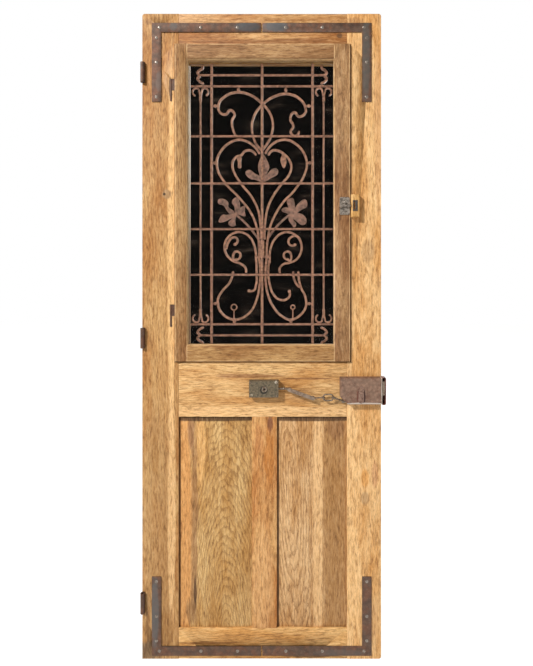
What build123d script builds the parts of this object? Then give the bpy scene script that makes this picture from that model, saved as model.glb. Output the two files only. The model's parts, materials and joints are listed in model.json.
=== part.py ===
from build123d import *
from math import atan2, cos, degrees, hypot, sin, sqrt
import os

os.makedirs("parts", exist_ok=True)

# An oak house door leaf with a forged grille, an opening sash in front of it, iron corner straps and
# a pull latch. Millimetres. X runs along the leaf, from the hinges on the left to the lock on the
# right, Y from the inner face through the leaf, and Z up. The origin is the middle of the bottom edge.

# Leaf
leaf_width = 764
leaf_height = 2064
leaf_thickness = 44
left_stile_width = 116
right_stile_width = 109
top_rail_height = 110
lock_rail_top = 962
lock_rail_height = 188
bottom_rail_height = 98
muntin_width = 80
muntin_offset = 9
tenon_thickness = 14
tenon_length = 50
tenon_shoulder = 12
tenon_setback = 5
leaf_corner_radius = 8

# Panels, held in grooves
panel_thickness = 16
panel_recess = 7
panel_tongue = 10
groove_play = 0.3

# Lining boards round the grille, behind the sash
lining_left_width = 30
lining_right_width = 35
lining_bottom_height = 28
lining_top_height = 40

# Sash and its rebate
rebate_depth = 22
rebate_side = 13.5
sash_gap_left = 2.8
sash_gap_right = 4.3
sash_gap_top = 2.5
sash_gap_bottom = 4.5
sash_back_play = 0.3
sash_proud = 8
sash_left_width = 40
sash_right_width = 52
sash_top_width = 50
sash_bottom_width = 53
sash_bevel = 6
sash_tenon_length = 24
sash_tenon_thickness = 10
glass_thickness = 3
glass_lap = 8
glass_setback = 18
glass_play = 1
sash_tenon_cover = 1

# Sash hinges: a knuckle sunk in a slot of the left stile
sash_hinge_height = 70
sash_hinge_setback = 13.5
sash_knuckle_radius = 3.2
sash_knuckle_proud = 2
sash_knuckle_room = 0.4
sash_hinge_room = 1
sash_hinge_parting = 0.3
sash_blade_depth = 30
sash_plate_depth = 18
sash_pin_radius = 1.6
sash_hinge_drop = 145
sash_hinge_rise = 145
sash_plate_thickness = 1.5
hinge_play = 0.05

# Sash latch
latch_height_on_sash = 495
latch_plate_height = 56
latch_plate_thickness = 2
latch_bar_radius = 3.4
latch_staple_inset = 5
latch_plate_width = 33
latch_plate_edge = 1
latch_staple_width = 6
latch_staple_wall = 2.4
latch_knob_radius = 4.2
latch_knob_rise = 11
latch_knob_place = 15
latch_neck_radius = 1.5
keeper_block_width = 27
keeper_block_height = 73
keeper_block_proud = 20
keeper_block_bevel = 3
keeper_block_play = 2
keeper_plate_width = 15
keeper_plate_inset = 4.5
keeper_slot_inset = 2.4
keeper_pocket_depth = 5
keeper_plate_height = 34
keeper_plate_thickness = 1.5
keeper_slot_width = 5
keeper_slot_height = 24

# Door hinges: lift-off knuckles at the inner left edge
hinge_bottom_height = 182
hinge_middle_height = 1027
hinge_top_drop = 189
hinge_length = 64
hinge_knuckle_radius = 7
hinge_bore_radius = 4.5
hinge_plate_thickness = 3
hinge_plate_depth = 38
hinge_inset = 2.5
hinge_stand = 5
hinge_screw_head = 4
hinge_screw_edge = 14
hinge_room = 1
knuckle_room = 0.5

# Corner straps
strap_thickness = 3
strap_width = 30
strap_inset_side = 31
strap_inset_top = 30
strap_inset_bottom = 12
strap_leg = 252
strap_meeting = 4
strap_first_screw = 48
strap_last_screw = 15
strap_arm_screw = 24
strap_arm_share = 0.45
strap_meeting_screw = 75

# Screws
screw_head_radius = 5
screw_head_rise = 1.2
screw_radius = 2.2
screw_length = 22
screw_play = 0.1
screw_hole_rest = 1

# Grille
upright_radius = 4.2
crossbar_radius = 3.5
slim_radius = 3.1
grille_depth = 27
grille_shift = 1
side_space = 72.5
top_space = 72
bottom_space = 77
crossbar_steps = (0, 1.04, 2, 2.96, 3.95, 5)
short_bar_offset = 36
crossbar_end_play = 4
short_bar_overhang = 40
slim_bar_offset = 36
slim_end = 46.5
upright_socket = 12
lap_play = 0.1
lap_reach = 1
scroll_width = 7
scroll_depth = 6
fork_width = 5
tie_width = 5
tie_setback = 1
button_radius = 5
ring_wire = 3.5
sheath_thickness = 2
sheath_width = 15
leaf_plate = 3

# Transfer box on the lock rail
box_width = 93
box_height = 52
box_proud = 21
box_wall = 2.5
box_offset = 1.7
spindle_offset = 2
spindle_square = 7
spindle_hole_radius = 9
follower_radius = 8.5
follower_boss = 1.5
follower_wing = 16.5
follower_wing_width = 6
follower_thickness = 8
yoke_play = 0.8
yoke_bar = 4
yoke_reach = 31
yoke_thickness = 8
pull_rod_radius = 3
rivet_radius = 2.6
rivet_shank = 1.5
rivet_post = 6
rivet_rise = 1

# Pull linkage
linkage_depth = 13
link_wire = 2.2
eye_radius = 6.6
eye_neck = 3
eye_lap = 1
flat_bar_width = 11.5
flat_bar_thickness = 3.5
rod_eye_reach = 34
rod_eye_drop = 2.5
bar_eye_offset = (-32.6, -2)
oval_length = 32.4
hook_offset = (-32, 12)
ear_offset = (11, 7.5)
oval_width = 24
eye_thickness = 4
hook_play = 1.05
band_height = 2.7
band_thickness = 3.5
band_lap = 0.5
ear_thickness = 4
hook_pin_end = 1
pin_head_radius = 3.6
bead_radius = 4.2
bead_offsets = (17.2, 24.2)

# Rim lock
lock_width = 133
lock_bottom = 820.5
lock_height = 83
lock_proud = 24
lock_wall = 2.5
lock_cover_thickness = 3.5
lock_bevel = 3
lock_corner_cut = 24
latch_head_height = 44
latch_head_drop = 11.5
latch_head_thickness = 14
latch_head_depth = 20
latch_bolt_thickness = 8
latch_shank_height = 11
tail_width = 10
tail_eye_hole = 3.7
bolt_play = 0.4
guide_offset = 82
dead_bolt_height = 15
dead_bolt_length = 88
dead_bolt_thickness = 10
key_offset = (68, 36.5)
keyhole_radius = 5.6
keyhole_slot = 5
keyhole_drop = 14
cover_pivot_rise = 12.6
cover_pivot_radius = 2
cover_width = 17
cover_length = 36
cover_thickness = 1.6
cover_play = 0.3
lock_keeper_reach = 11.5
lock_keeper_wall = 3
lock_keeper_height = 88
lock_keeper_depth = 18
lock_keeper_radius = 6

# Faces, edges and centre lines that follow from the sizes above
front = -leaf_thickness / 2
back = leaf_thickness / 2
left_edge = -leaf_width / 2
right_edge = leaf_width / 2
left_inner = left_edge + left_stile_width
right_inner = right_edge - right_stile_width
top_inner = leaf_height - top_rail_height
lock_rail_bottom = lock_rail_top - lock_rail_height
muntin_left = muntin_offset - muntin_width / 2
muntin_right = muntin_offset + muntin_width / 2

rebate_left = left_inner - rebate_side
rebate_right = right_inner + rebate_side
rebate_bottom = lock_rail_top - rebate_side
rebate_top = top_inner + rebate_side
ledge = front + rebate_depth

sash_front = front - sash_proud
sash_back = ledge - sash_back_play
sash_left = rebate_left + sash_gap_left
sash_right = rebate_right - sash_gap_right
sash_bottom = rebate_bottom + sash_gap_bottom
sash_top = rebate_top - sash_gap_top
sight_left = sash_left + sash_left_width
sight_right = sash_right - sash_right_width
sight_bottom = sash_bottom + sash_bottom_width
sight_top = sash_top - sash_top_width
glass_front = sash_front + glass_setback

opening_left = left_inner + lining_left_width
opening_right = right_inner - lining_right_width
opening_bottom = lock_rail_top + lining_bottom_height
opening_top = top_inner - lining_top_height
grille_middle = (opening_left + opening_right) / 2 - grille_shift
bay = (opening_right - opening_left) / 2 - side_space
bottom_bar = opening_bottom + bottom_space
pitch = (opening_top - top_space - bottom_bar) / crossbar_steps[-1]
bar_plane = front + grille_depth
near_plane = bar_plane + upright_radius + scroll_depth / 2
far_plane = near_plane + scroll_depth
bar_heights = [bottom_bar + step * pitch for step in crossbar_steps]
short_bar_heights = [bar_heights[0] - short_bar_offset, bar_heights[-1] + short_bar_offset]
slim_bar = bay + slim_bar_offset

hinge_axis = (left_edge + hinge_inset, front - hinge_stand)
hinge_heights = (hinge_bottom_height, hinge_middle_height, leaf_height - hinge_top_drop)
hinge_bed = left_edge + hinge_plate_thickness
hinge_screw_x = (hinge_bed, hinge_bed + screw_length)

sash_hinge_x = sash_left - sash_hinge_setback
sash_hinge_y = front + sash_knuckle_radius - sash_knuckle_proud
sash_hinge_slot = sash_knuckle_radius + sash_knuckle_room
sash_hinges = {
    "upper": sash_top - sash_hinge_rise,
    "lower": sash_bottom + sash_hinge_drop,
}

latch_z = sash_bottom + latch_height_on_sash
latch_plate_front = sash_front - latch_plate_thickness
latch_y = latch_plate_front - latch_knob_radius - bolt_play
block_left = sash_right + keeper_block_play
block_front = front - keeper_block_proud

box_centre = (muntin_offset - box_offset, lock_rail_bottom + lock_rail_height / 2)
box_left = box_centre[0] - box_width / 2
box_right = box_centre[0] + box_width / 2
box_bottom = box_centre[1] - box_height / 2
box_top = box_centre[1] + box_height / 2
box_front = front - box_proud
spindle = (box_centre[0] + spindle_offset, box_centre[1])
linkage_y = front - linkage_depth

lock_left = right_edge - lock_width
lock_top = lock_bottom + lock_height
lock_front = front - lock_proud
bolt_y = front - lock_proud / 2
keeper_right = right_edge + lock_keeper_reach
keeper_middle = lock_bottom + lock_height / 2
latch_reach = keeper_right - lock_keeper_wall - bolt_play
latch_head_top = lock_top - latch_head_drop
key_centre = (right_edge - key_offset[0], lock_bottom + key_offset[1])
cover_pivot = (key_centre[0], key_centre[1] + cover_pivot_rise)

rod_eye = (box_right + rod_eye_reach, box_centre[1] - rod_eye_drop)
tail_eye = (lock_left + ear_offset[0], lock_bottom + ear_offset[1])
oval_far_end = (tail_eye[0] + hook_offset[0], tail_eye[1] + hook_offset[1])
oval_end = (oval_far_end[0] - oval_length, oval_far_end[1])
bar_eye = (oval_end[0] + bar_eye_offset[0], oval_end[1] + bar_eye_offset[1])


def facing(y):
    """The upright plane at a depth, seen from the inner side."""
    return Plane.XZ.offset(-y)


def block(x, y, z, mode=Mode.ADD):
    """A squared board, or a cut, between two values along each axis."""
    with Locations([(sum(x) / 2, sum(y) / 2, sum(z) / 2)]):
        Box(x[1] - x[0], y[1] - y[0], z[1] - z[0], mode=mode)


def upright_disc(x, z, radius, y, mode=Mode.ADD):
    """A round piece, or a hole, whose axis runs through the leaf between two depths."""
    with BuildSketch(facing(y[1])) as outline:
        with Locations((x, z)):
            Circle(radius)
    extrude(outline.sketch, amount=y[1] - y[0], mode=mode)


def post(x, y, radius, z, mode=Mode.ADD):
    """A round piece, or a hole, that stands upright between two heights."""
    with BuildSketch(Plane.XY.offset(z[0])) as outline:
        with Locations((x, y)):
            Circle(radius)
    extrude(outline.sketch, amount=z[1] - z[0], mode=mode)


def bar_along(y, z, radius, x, mode=Mode.ADD):
    """A round bar, or a hole, that lies along X between two ends."""
    with BuildSketch(Plane.YZ.offset(x[0])) as outline:
        with Locations((y, z)):
            Circle(radius)
    extrude(outline.sketch, amount=x[1] - x[0], mode=mode)


def grille_place(u, v):
    """A place on the grille, in bays from its middle upright and pitches from its lowest full bar."""
    return grille_middle + u * bay, bottom_bar + v * pitch


def heading(before, here, after):
    """Direction at a point of the circle through it and its two neighbours."""
    ax, az = here[0] - before[0], here[1] - before[1]
    bx, bz = after[0] - here[0], after[1] - here[1]
    la, lb = hypot(ax, az), hypot(bx, bz)
    dx, dz = ax * lb / la + bx * la / lb, az * lb / la + bz * la / lb
    length = hypot(dx, dz)
    return dx / length, dz / length


def end_heading(end, neighbour, direction):
    """Direction at an end, mirrored from its neighbour's across their chord."""
    cx, cz = neighbour[0] - end[0], neighbour[1] - end[1]
    along = 2 * (direction[0] * cx + direction[1] * cz) / (cx * cx + cz * cz)
    return along * cx - direction[0], along * cz - direction[1]


def arc_joint(p, q, t, s):
    """Where the two tangent arcs meet that leave p along t and reach q along s."""
    vx, vz = q[0] - p[0], q[1] - p[1]
    wx, wz = t[0] + s[0], t[1] + s[1]
    across = 2 * (1 - t[0] * s[0] - t[1] * s[1])
    along = vx * wx + vz * wz
    square = vx * vx + vz * vz
    reach = square / (2 * along)
    if across > 1e-6:
        reach = (sqrt(along * along + across * square) - along) / across
    return (p[0] + q[0] + reach * (t[0] - s[0])) / 2, (p[1] + q[1] + reach * (t[1] - s[1])) / 2


def turned(direction, angle):
    """A direction turned by an angle, from X toward Z."""
    return (
        direction[0] * cos(angle) - direction[1] * sin(angle),
        direction[0] * sin(angle) + direction[1] * cos(angle),
    )


def arc_stations(p, q, t):
    """Start, middle and end of the arc from p along t to q: each a place and its direction."""
    vx, vz = q[0] - p[0], q[1] - p[1]
    half_turn = atan2(t[0] * vz - t[1] * vx, t[0] * vx + t[1] * vz)
    quarter = turned(t, half_turn / 2)
    reach = hypot(vx, vz) / (2 * cos(half_turn / 2))
    middle = (p[0] + quarter[0] * reach, p[1] + quarter[1] * reach)
    return (p, t), (middle, turned(t, half_turn)), (q, turned(t, 2 * half_turn))


def beside(station, distance):
    """The place at a distance to the left of a station on the route."""
    place, direction = station
    return place[0] - direction[1] * distance, place[1] + direction[0] * distance


def join(start, middle, end):
    """An arc through three places, or a straight run where they lie in line."""
    ax, az = middle[0] - start[0], middle[1] - start[1]
    bx, bz = end[0] - start[0], end[1] - start[1]
    if abs(ax * bz - az * bx) < 0.002 * (bx * bx + bz * bz):
        Line(start, end)
    else:
        ThreePointArc(start, middle, end)


def forged(points, y, width=scroll_width):
    """A flat bar bent on edge through points given in bays across and pitches up, by smooth arcs."""
    knots = [grille_place(u, v) for u, v in points]
    inner = [heading(*knots[i - 1 : i + 2]) for i in range(1, len(knots) - 1)]
    first = end_heading(knots[0], knots[1], inner[0])
    last = end_heading(knots[-1], knots[-2], inner[-1])
    headings = [first, *inner, last]
    arcs = []
    for p, q, t, s in zip(knots, knots[1:], headings, headings[1:]):
        middle = arc_joint(p, q, t, s)
        arcs.append(arc_stations(p, middle, t))
        arcs.append(arc_stations(middle, q, arcs[-1][2][1]))
    side = width / 2
    with BuildSketch(facing(y + scroll_depth / 2)) as outline:
        with BuildLine():
            for arc in arcs:
                join(*[beside(station, side) for station in arc])
            place, direction = arcs[-1][2]
            tip = (place[0] + direction[0] * side, place[1] + direction[1] * side)
            join(beside(arcs[-1][2], side), tip, beside(arcs[-1][2], -side))
            for arc in reversed(arcs):
                join(*[beside(station, -side) for station in reversed(arc)])
            place, direction = arcs[0][0]
            tip = (place[0] - direction[0] * side, place[1] - direction[1] * side)
            join(beside(arcs[0][0], -side), tip, beside(arcs[0][0], side))
        make_face()
    extrude(outline.sketch, amount=scroll_depth)


def petal(points, y):
    """A flat forged leaf with a rounded outline, given like a bar's points."""
    with BuildSketch(facing(y + leaf_plate / 2)) as outline:
        with BuildLine():
            Spline([grille_place(u, v) for u, v in points[1:] + points[:1]], periodic=True)
        make_face()
    extrude(outline.sketch, amount=leaf_plate)


def mirrored(points):
    """The same points on the other side of the middle upright."""
    return [(-u, v) for u, v in points]


def finish(piece, name):
    """Name a finished piece and write its file."""
    piece.part.label = name
    export_step(piece.part, f"parts/{name}.step")


# Straps, as side (-1 left, 1 right), end (-1 bottom, 1 top) and their outer corner
strap_corners = {
    "strap_top_left": (-1, 1, left_edge + strap_inset_side, leaf_height - strap_inset_top),
    "strap_top_right": (1, 1, right_edge - strap_inset_side, leaf_height - strap_inset_top),
    "strap_bottom_left": (-1, -1, left_edge + strap_inset_side, strap_inset_bottom),
    "strap_bottom_right": (1, -1, right_edge - strap_inset_side, strap_inset_bottom),
}


def strap_screws(side, end, corner_x, corner_z):
    """Screw places of one strap: three down its leg and three along its arm."""
    leg_x = corner_x - side * strap_width / 2
    arm_z = corner_z - end * strap_width / 2
    arm = side * corner_x - strap_meeting / 2
    drops = (strap_first_screw, strap_leg / 2, strap_leg - strap_last_screw)
    runs = (strap_arm_screw, arm * strap_arm_share, arm - strap_meeting_screw)
    leg_places = [(leg_x, corner_z - end * drop) for drop in drops]
    arm_places = [(corner_x - side * run, arm_z) for run in runs]
    return leg_places + arm_places


screw_places = [place for corner in strap_corners.values() for place in strap_screws(*corner)]


def drill(x, z):
    """Screw holes of the straps that fall on a board between two values across and up."""
    places = [p for p in screw_places if x[0] < p[0] < x[1] and z[0] < p[1] < z[1]]
    hole_y = (front, front + screw_length + screw_hole_rest)
    for place in places:
        upright_disc(*place, screw_radius + screw_play, hole_y, Mode.SUBTRACT)


def sash_rebate():
    """The step that the sash closes into, cut from whichever board is being made."""
    block((rebate_left, rebate_right), (front, ledge), (rebate_bottom, rebate_top), Mode.SUBTRACT)


def panel_groove(x, z):
    """The groove for a panel's tongue, all round an opening between two values across and up."""
    middle = front + panel_recess + panel_thickness / 2
    half = panel_thickness / 2
    reach = panel_tongue + groove_play
    depth = (middle - half, middle + half)
    block((x[0] - reach, x[1] + reach), depth, (z[0] - reach, z[1] + reach), Mode.SUBTRACT)


panel_z = (bottom_rail_height, lock_rail_bottom)
panel_bays = {
    "left_panel": (left_inner, muntin_left),
    "right_panel": (muntin_right, right_inner),
}
rail_spans = {
    "top_rail": (top_inner, leaf_height),
    "lock_rail": (lock_rail_bottom, lock_rail_top),
    "bottom_rail": (0, bottom_rail_height),
}
tenon_y = (tenon_setback - tenon_thickness / 2, tenon_setback + tenon_thickness / 2)


def tenons(z, mode=Mode.ADD):
    """Both tenons of a rail, or the mortises for them, between two heights."""
    span = (z[0] + tenon_shoulder, z[1] - tenon_shoulder)
    block((left_inner - tenon_length, left_inner), tenon_y, span, mode)
    block((right_inner, right_inner + tenon_length), tenon_y, span, mode)


def hinge_screw_places(height):
    """Depth and height of one door hinge's three screws."""
    y = front + hinge_plate_depth - hinge_screw_edge
    return [(y, height + step * hinge_length / 3) for step in (-1, 0, 1)]


def hinge_seats():
    """Notches and shallow beds for the door hinges in the edge of the left stile."""
    for height in hinge_heights:
        z = (height - hinge_length / 2 - hinge_room, height + hinge_length / 2 + hinge_room)
        notch = hinge_knuckle_radius + knuckle_room
        notch_x = (left_edge, left_edge + hinge_inset + notch)
        block(notch_x, (front, front + notch - hinge_stand), z, Mode.SUBTRACT)
        bed_z = (height - hinge_length / 2, height + hinge_length / 2)
        block((left_edge, hinge_bed), (front, front + hinge_plate_depth), bed_z, Mode.SUBTRACT)
        for place in hinge_screw_places(height):
            bar_along(*place, screw_radius + screw_play, hinge_screw_x, Mode.SUBTRACT)


def sash_hinge_seats():
    """Slots for the sunk knuckles, their blades and their moving plates, in the left stile."""
    half = sash_hinge_height / 2
    slot_x = (sash_hinge_x - sash_hinge_slot, sash_hinge_x + sash_hinge_slot)
    blade_x = (sash_hinge_x - sash_plate_thickness / 2, sash_hinge_x + sash_plate_thickness / 2)
    for height in sash_hinges.values():
        z = (height - half - sash_hinge_room, height + half + sash_hinge_room)
        block(slot_x, (front, sash_hinge_y + sash_hinge_slot), z, Mode.SUBTRACT)
        blade_y = (front, front + sash_blade_depth)
        block(blade_x, blade_y, (height - half, height - sash_hinge_room), Mode.SUBTRACT)
        plate_y = (front, sash_hinge_y + sash_knuckle_room)
        block((sash_hinge_x, rebate_left), plate_y, (height - 1.5 * sash_hinge_room, z[1]), Mode.SUBTRACT)


with BuildPart() as left_stile:
    block((left_edge, left_inner), (front, back), (0, leaf_height))
    corner = left_stile.edges().filter_by(Axis.Y).group_by(Axis.X)[0].sort_by(Axis.Z)[-1]
    fillet(corner, leaf_corner_radius)
    sash_rebate()
    for span in rail_spans.values():
        tenons(span, Mode.SUBTRACT)
    panel_groove(panel_bays["left_panel"], panel_z)
    hinge_seats()
    sash_hinge_seats()
    drill((left_edge, left_inner), (0, leaf_height))
finish(left_stile, "left_stile")

with BuildPart() as right_stile:
    block((right_inner, right_edge), (front, back), (0, leaf_height))
    corners = right_stile.edges().filter_by(Axis.Y).group_by(Axis.X)[-1]
    fillet(corners, leaf_corner_radius)
    sash_rebate()
    for span in rail_spans.values():
        tenons(span, Mode.SUBTRACT)
    panel_groove(panel_bays["right_panel"], panel_z)
    drill((right_inner, right_edge), (0, leaf_height))
finish(right_stile, "right_stile")

muntin_tenon = (muntin_left + tenon_shoulder, muntin_right - tenon_shoulder)


def muntin_tenons(mode=Mode.ADD):
    """Tenons of the muntin into the lock rail and the bottom rail, or their mortises."""
    reach = tenon_length / 2
    block(muntin_tenon, tenon_y, (bottom_rail_height - reach, bottom_rail_height), mode)
    block(muntin_tenon, tenon_y, (lock_rail_bottom, lock_rail_bottom + reach), mode)


for name, span in rail_spans.items():
    with BuildPart() as rail:
        block((left_inner, right_inner), (front, back), span)
        tenons(span)
        sash_rebate()
        if name != "top_rail":
            for bay_x in panel_bays.values():
                panel_groove(bay_x, panel_z)
            muntin_tenons(Mode.SUBTRACT)
        if name == "lock_rail":
            upright_disc(*spindle, spindle_hole_radius, (front, back), Mode.SUBTRACT)
        drill((left_inner, right_inner), span)
    finish(rail, name)

with BuildPart() as muntin:
    block((muntin_left, muntin_right), (front, back), panel_z)
    muntin_tenons()
    for bay_x in panel_bays.values():
        panel_groove(bay_x, panel_z)
finish(muntin, "muntin")

for name, bay_x in panel_bays.items():
    with BuildPart() as panel:
        x = (bay_x[0] - panel_tongue, bay_x[1] + panel_tongue)
        z = (panel_z[0] - panel_tongue, panel_z[1] + panel_tongue)
        block(x, (front + panel_recess, front + panel_recess + panel_thickness), z)
    finish(panel, name)

# The lining boards close the gap between the leaf's frame and the grille. The side boards run
# between the top and the bottom one, which take the ends of the uprights.
lining_y = (ledge, back)
lining_boards = {
    "lining_left": ((left_inner, opening_left), (opening_bottom, opening_top)),
    "lining_right": ((opening_right, right_inner), (opening_bottom, opening_top)),
    "lining_bottom": ((left_inner, right_inner), (lock_rail_top, opening_bottom)),
    "lining_top": ((left_inner, right_inner), (opening_top, top_inner)),
}
upright_places = [grille_middle + step * bay for step in (-1, 0, 1)]
upright_z = (opening_bottom - upright_socket, opening_top + upright_socket)

for name, (x, z) in lining_boards.items():
    with BuildPart() as lining:
        block(x, lining_y, z)
        if name in ("lining_bottom", "lining_top"):
            for place in upright_places:
                post(place, bar_plane, upright_radius + lap_play, upright_z, Mode.SUBTRACT)
    finish(lining, name)

# Uprights and crossbars are halved into each other: the crossbars keep their front half and the
# uprights their back half, so both centre lines lie in one plane.


def halve_uprights(x, radius, heights):
    """Cut the front half of an upright at each crossbar."""
    for height in heights:
        z = (height - crossbar_radius - lap_play, height + crossbar_radius + lap_play)
        across = (x - radius - lap_reach, x + radius + lap_reach)
        block(across, (bar_plane - radius - lap_reach, bar_plane), z, Mode.SUBTRACT)


def halve_crossbar(height, places):
    """Cut the back half of a crossbar at each upright, given as place and radius."""
    z = (height - crossbar_radius - lap_reach, height + crossbar_radius + lap_reach)
    for x, radius in places:
        across = (x - radius - lap_play, x + radius + lap_play)
        block(across, (bar_plane, bar_plane + crossbar_radius + lap_reach), z, Mode.SUBTRACT)


with BuildPart() as grille_uprights:
    for place in upright_places:
        post(place, bar_plane, upright_radius, upright_z)
        halve_uprights(place, upright_radius, bar_heights + short_bar_heights)
finish(grille_uprights, "grille_uprights")

main_places = [(place, upright_radius) for place in upright_places]
slim_places = [(grille_middle + side * slim_bar, slim_radius) for side in (-1, 1)]
slim_z = (bar_heights[0] + slim_end, bar_heights[-1] - slim_end)

with BuildPart() as grille_crossbars:
    ends = (opening_left + crossbar_end_play, opening_right - crossbar_end_play)
    for height in bar_heights:
        bar_along(bar_plane, height, crossbar_radius, ends)
        if slim_z[0] < height < slim_z[1]:
            halve_crossbar(height, main_places + slim_places)
        else:
            halve_crossbar(height, main_places)
    reach = bay + short_bar_overhang
    short_ends = (grille_middle - reach, grille_middle + reach)
    for height in short_bar_heights:
        bar_along(bar_plane, height, crossbar_radius, short_ends)
        halve_crossbar(height, main_places)
finish(grille_crossbars, "grille_crossbars")

# Slim side bars: each end forks into two curls beside the outer crossbars
fork_curl = [(0.012, 4.7), (0.02, 4.86), (0.06, 4.955), (0.13, 4.94), (0.155, 4.87), (0.12, 4.81)]
slim_turn = slim_bar / bay

with BuildPart() as grille_slim_bars:
    for side in (-1, 1):
        place = grille_middle + side * slim_bar
        post(place, bar_plane, slim_radius, slim_z)
        halve_uprights(place, slim_radius, bar_heights[1:-1])
        for spread in (-1, 1):
            upper = [(side * slim_turn + spread * u, v) for u, v in fork_curl]
            lower = [(u, crossbar_steps[-1] - v) for u, v in upper]
            forged(upper, bar_plane, fork_width)
            forged(lower, bar_plane, fork_width)
finish(grille_slim_bars, "grille_slim_bars")

# Waved bars that close the corners beside the short bars
corner_wave = [
    (1.18, 0.43), (1.185, 0.4), (1.25, 0.35), (1.285, 0.3), (1.245, 0.235), (1.285, 0.17), (1.25, 0.12),
    (1.18, 0.08),
]

with BuildPart() as grille_corner_waves:
    for side in (-1, 1):
        forged([(side * u, crossbar_steps[-1] + v) for u, v in corner_wave], near_plane)
        forged([(side * u, -v) for u, v in corner_wave], near_plane)
finish(grille_corner_waves, "grille_corner_waves")

# Scrollwork. The bars lie behind the uprights; where two would cross, one goes behind the other.
crown_left_line = [
    (-0.52, 3.97), (-0.59, 4.14), (-0.6, 4.29), (-0.55, 4.43), (-0.62, 4.51), (-0.74, 4.42), (-0.85, 4.48),
    (-0.87, 4.61), (-0.7, 4.83), (-0.47, 4.89), (-0.23, 4.83), (-0.01, 4.66), (0.15, 4.46), (0.21, 4.26),
    (0.18, 3.98), (0.05, 3.73), (-0.01, 3.66),
]
crown_right_line = [
    (0.73, 4.06), (0.65, 3.98), (0.57, 4.05), (0.62, 4.19), (0.56, 4.34), (0.62, 4.47), (0.76, 4.39),
    (0.86, 4.47), (0.85, 4.62), (0.7, 4.8), (0.47, 4.87), (0.23, 4.81), (0, 4.64), (-0.14, 4.45),
    (-0.2, 4.26), (-0.18, 3.96), (-0.09, 3.76), (0, 3.67),
]
outer_heart_left_line = [
    (-0.06, 3.61), (-0.16, 3.75), (-0.3, 3.85), (-0.46, 3.89), (-0.62, 3.84), (-0.8, 3.68), (-0.9, 3.46),
    (-0.88, 3.24), (-0.74, 2.98), (-0.47, 2.68), (-0.22, 2.34), (-0.1, 2.01), (-0.065, 1.7), (-0.06, 1.45),
]
outer_heart_right_line = [
    (0.07, 3.61), (0.2, 3.79), (0.33, 3.87), (0.48, 3.89), (0.67, 3.8), (0.83, 3.61), (0.89, 3.38),
    (0.83, 3.12), (0.67, 2.86), (0.37, 2.5), (0.18, 2.12), (0.105, 1.76), (0.09, 1.45),
]
inner_heart_left_line = [
    (-0.13, 3.58), (-0.23, 3.66), (-0.34, 3.65), (-0.42, 3.56), (-0.51, 3.53), (-0.58, 3.44), (-0.59, 3.31),
    (-0.53, 3.14), (-0.41, 2.95), (-0.2, 2.67), (-0.08, 2.4), (-0.035, 2.1), (-0.02, 1.8),
]
inner_heart_right_line = [
    (0.13, 3.58), (0.21, 3.66), (0.33, 3.65), (0.45, 3.57), (0.55, 3.44), (0.58, 3.3), (0.53, 3.14),
    (0.4, 2.97), (0.24, 2.74), (0.12, 2.48), (0.065, 2.2), (0.05, 1.8),
]
lyre_left_line = [
    (-0.12, 1.43), (-0.145, 1.61), (-0.22, 1.8), (-0.34, 1.91), (-0.49, 1.94), (-0.64, 1.87), (-0.74, 1.7),
    (-0.72, 1.49), (-0.58, 1.33), (-0.43, 1.27), (-0.34, 1.2), (-0.32, 1.1),
]
lyre_right_line = [
    (0.15, 1.43), (0.17, 1.61), (0.25, 1.79), (0.36, 1.9), (0.48, 1.94), (0.63, 1.9), (0.75, 1.77),
    (0.78, 1.56), (0.69, 1.37), (0.54, 1.29), (0.42, 1.26), (0.35, 1.18), (0.35, 1.09),
]
low_curl_line = [(-0.53, 1.31), (-0.58, 1.42), (-0.51, 1.53), (-0.43, 1.46), (-0.46, 1.38), (-0.51, 1.36)]
high_curl_line = [(-0.71, 1.6), (-0.67, 1.73), (-0.6, 1.82), (-0.52, 1.82), (-0.49, 1.74), (-0.54, 1.68)]
high_curl_right_line = [(0.75, 1.78), (0.66, 1.86), (0.57, 1.83), (0.52, 1.74), (0.57, 1.66), (0.65, 1.67)]
bulb_left_line = [
    (-0.06, 1.385), (-0.05, 0.84), (-0.1, 0.55), (-0.24, 0.25), (-0.39, 0.13), (-0.55, 0.09), (-0.73, 0.16),
    (-0.86, 0.33), (-0.88, 0.52), (-0.79, 0.7), (-0.65, 0.87), (-0.58, 1.09),
]
bulb_right_line = [
    (0.09, 1.385), (0.065, 0.97), (0.09, 0.72), (0.19, 0.42), (0.36, 0.19), (0.57, 0.09), (0.75, 0.18),
    (0.87, 0.37), (0.86, 0.57), (0.77, 0.77), (0.72, 1.09),
]
spur_left_line = [(-0.12, 1.365), (-0.11, 1.05), (-0.12, 0.83), (-0.18, 0.7), (-0.26, 0.7)]
spur_right_line = [
    (0.15, 1.365), (0.145, 0.86), (0.22, 0.63), (0.33, 0.52), (0.46, 0.51), (0.54, 0.58), (0.54, 0.69),
]
twin_right_line = [(0.62, 1.09), (0.65, 0.91), (0.73, 0.78)]
stem_left_line = [(-0.55, 2.33), (-0.36, 2.16), (-0.2, 1.97), (-0.07, 1.78)]
stem_right_line = [(0.57, 2.33), (0.42, 2.2), (0.24, 2.0), (0.11, 1.8)]

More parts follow.
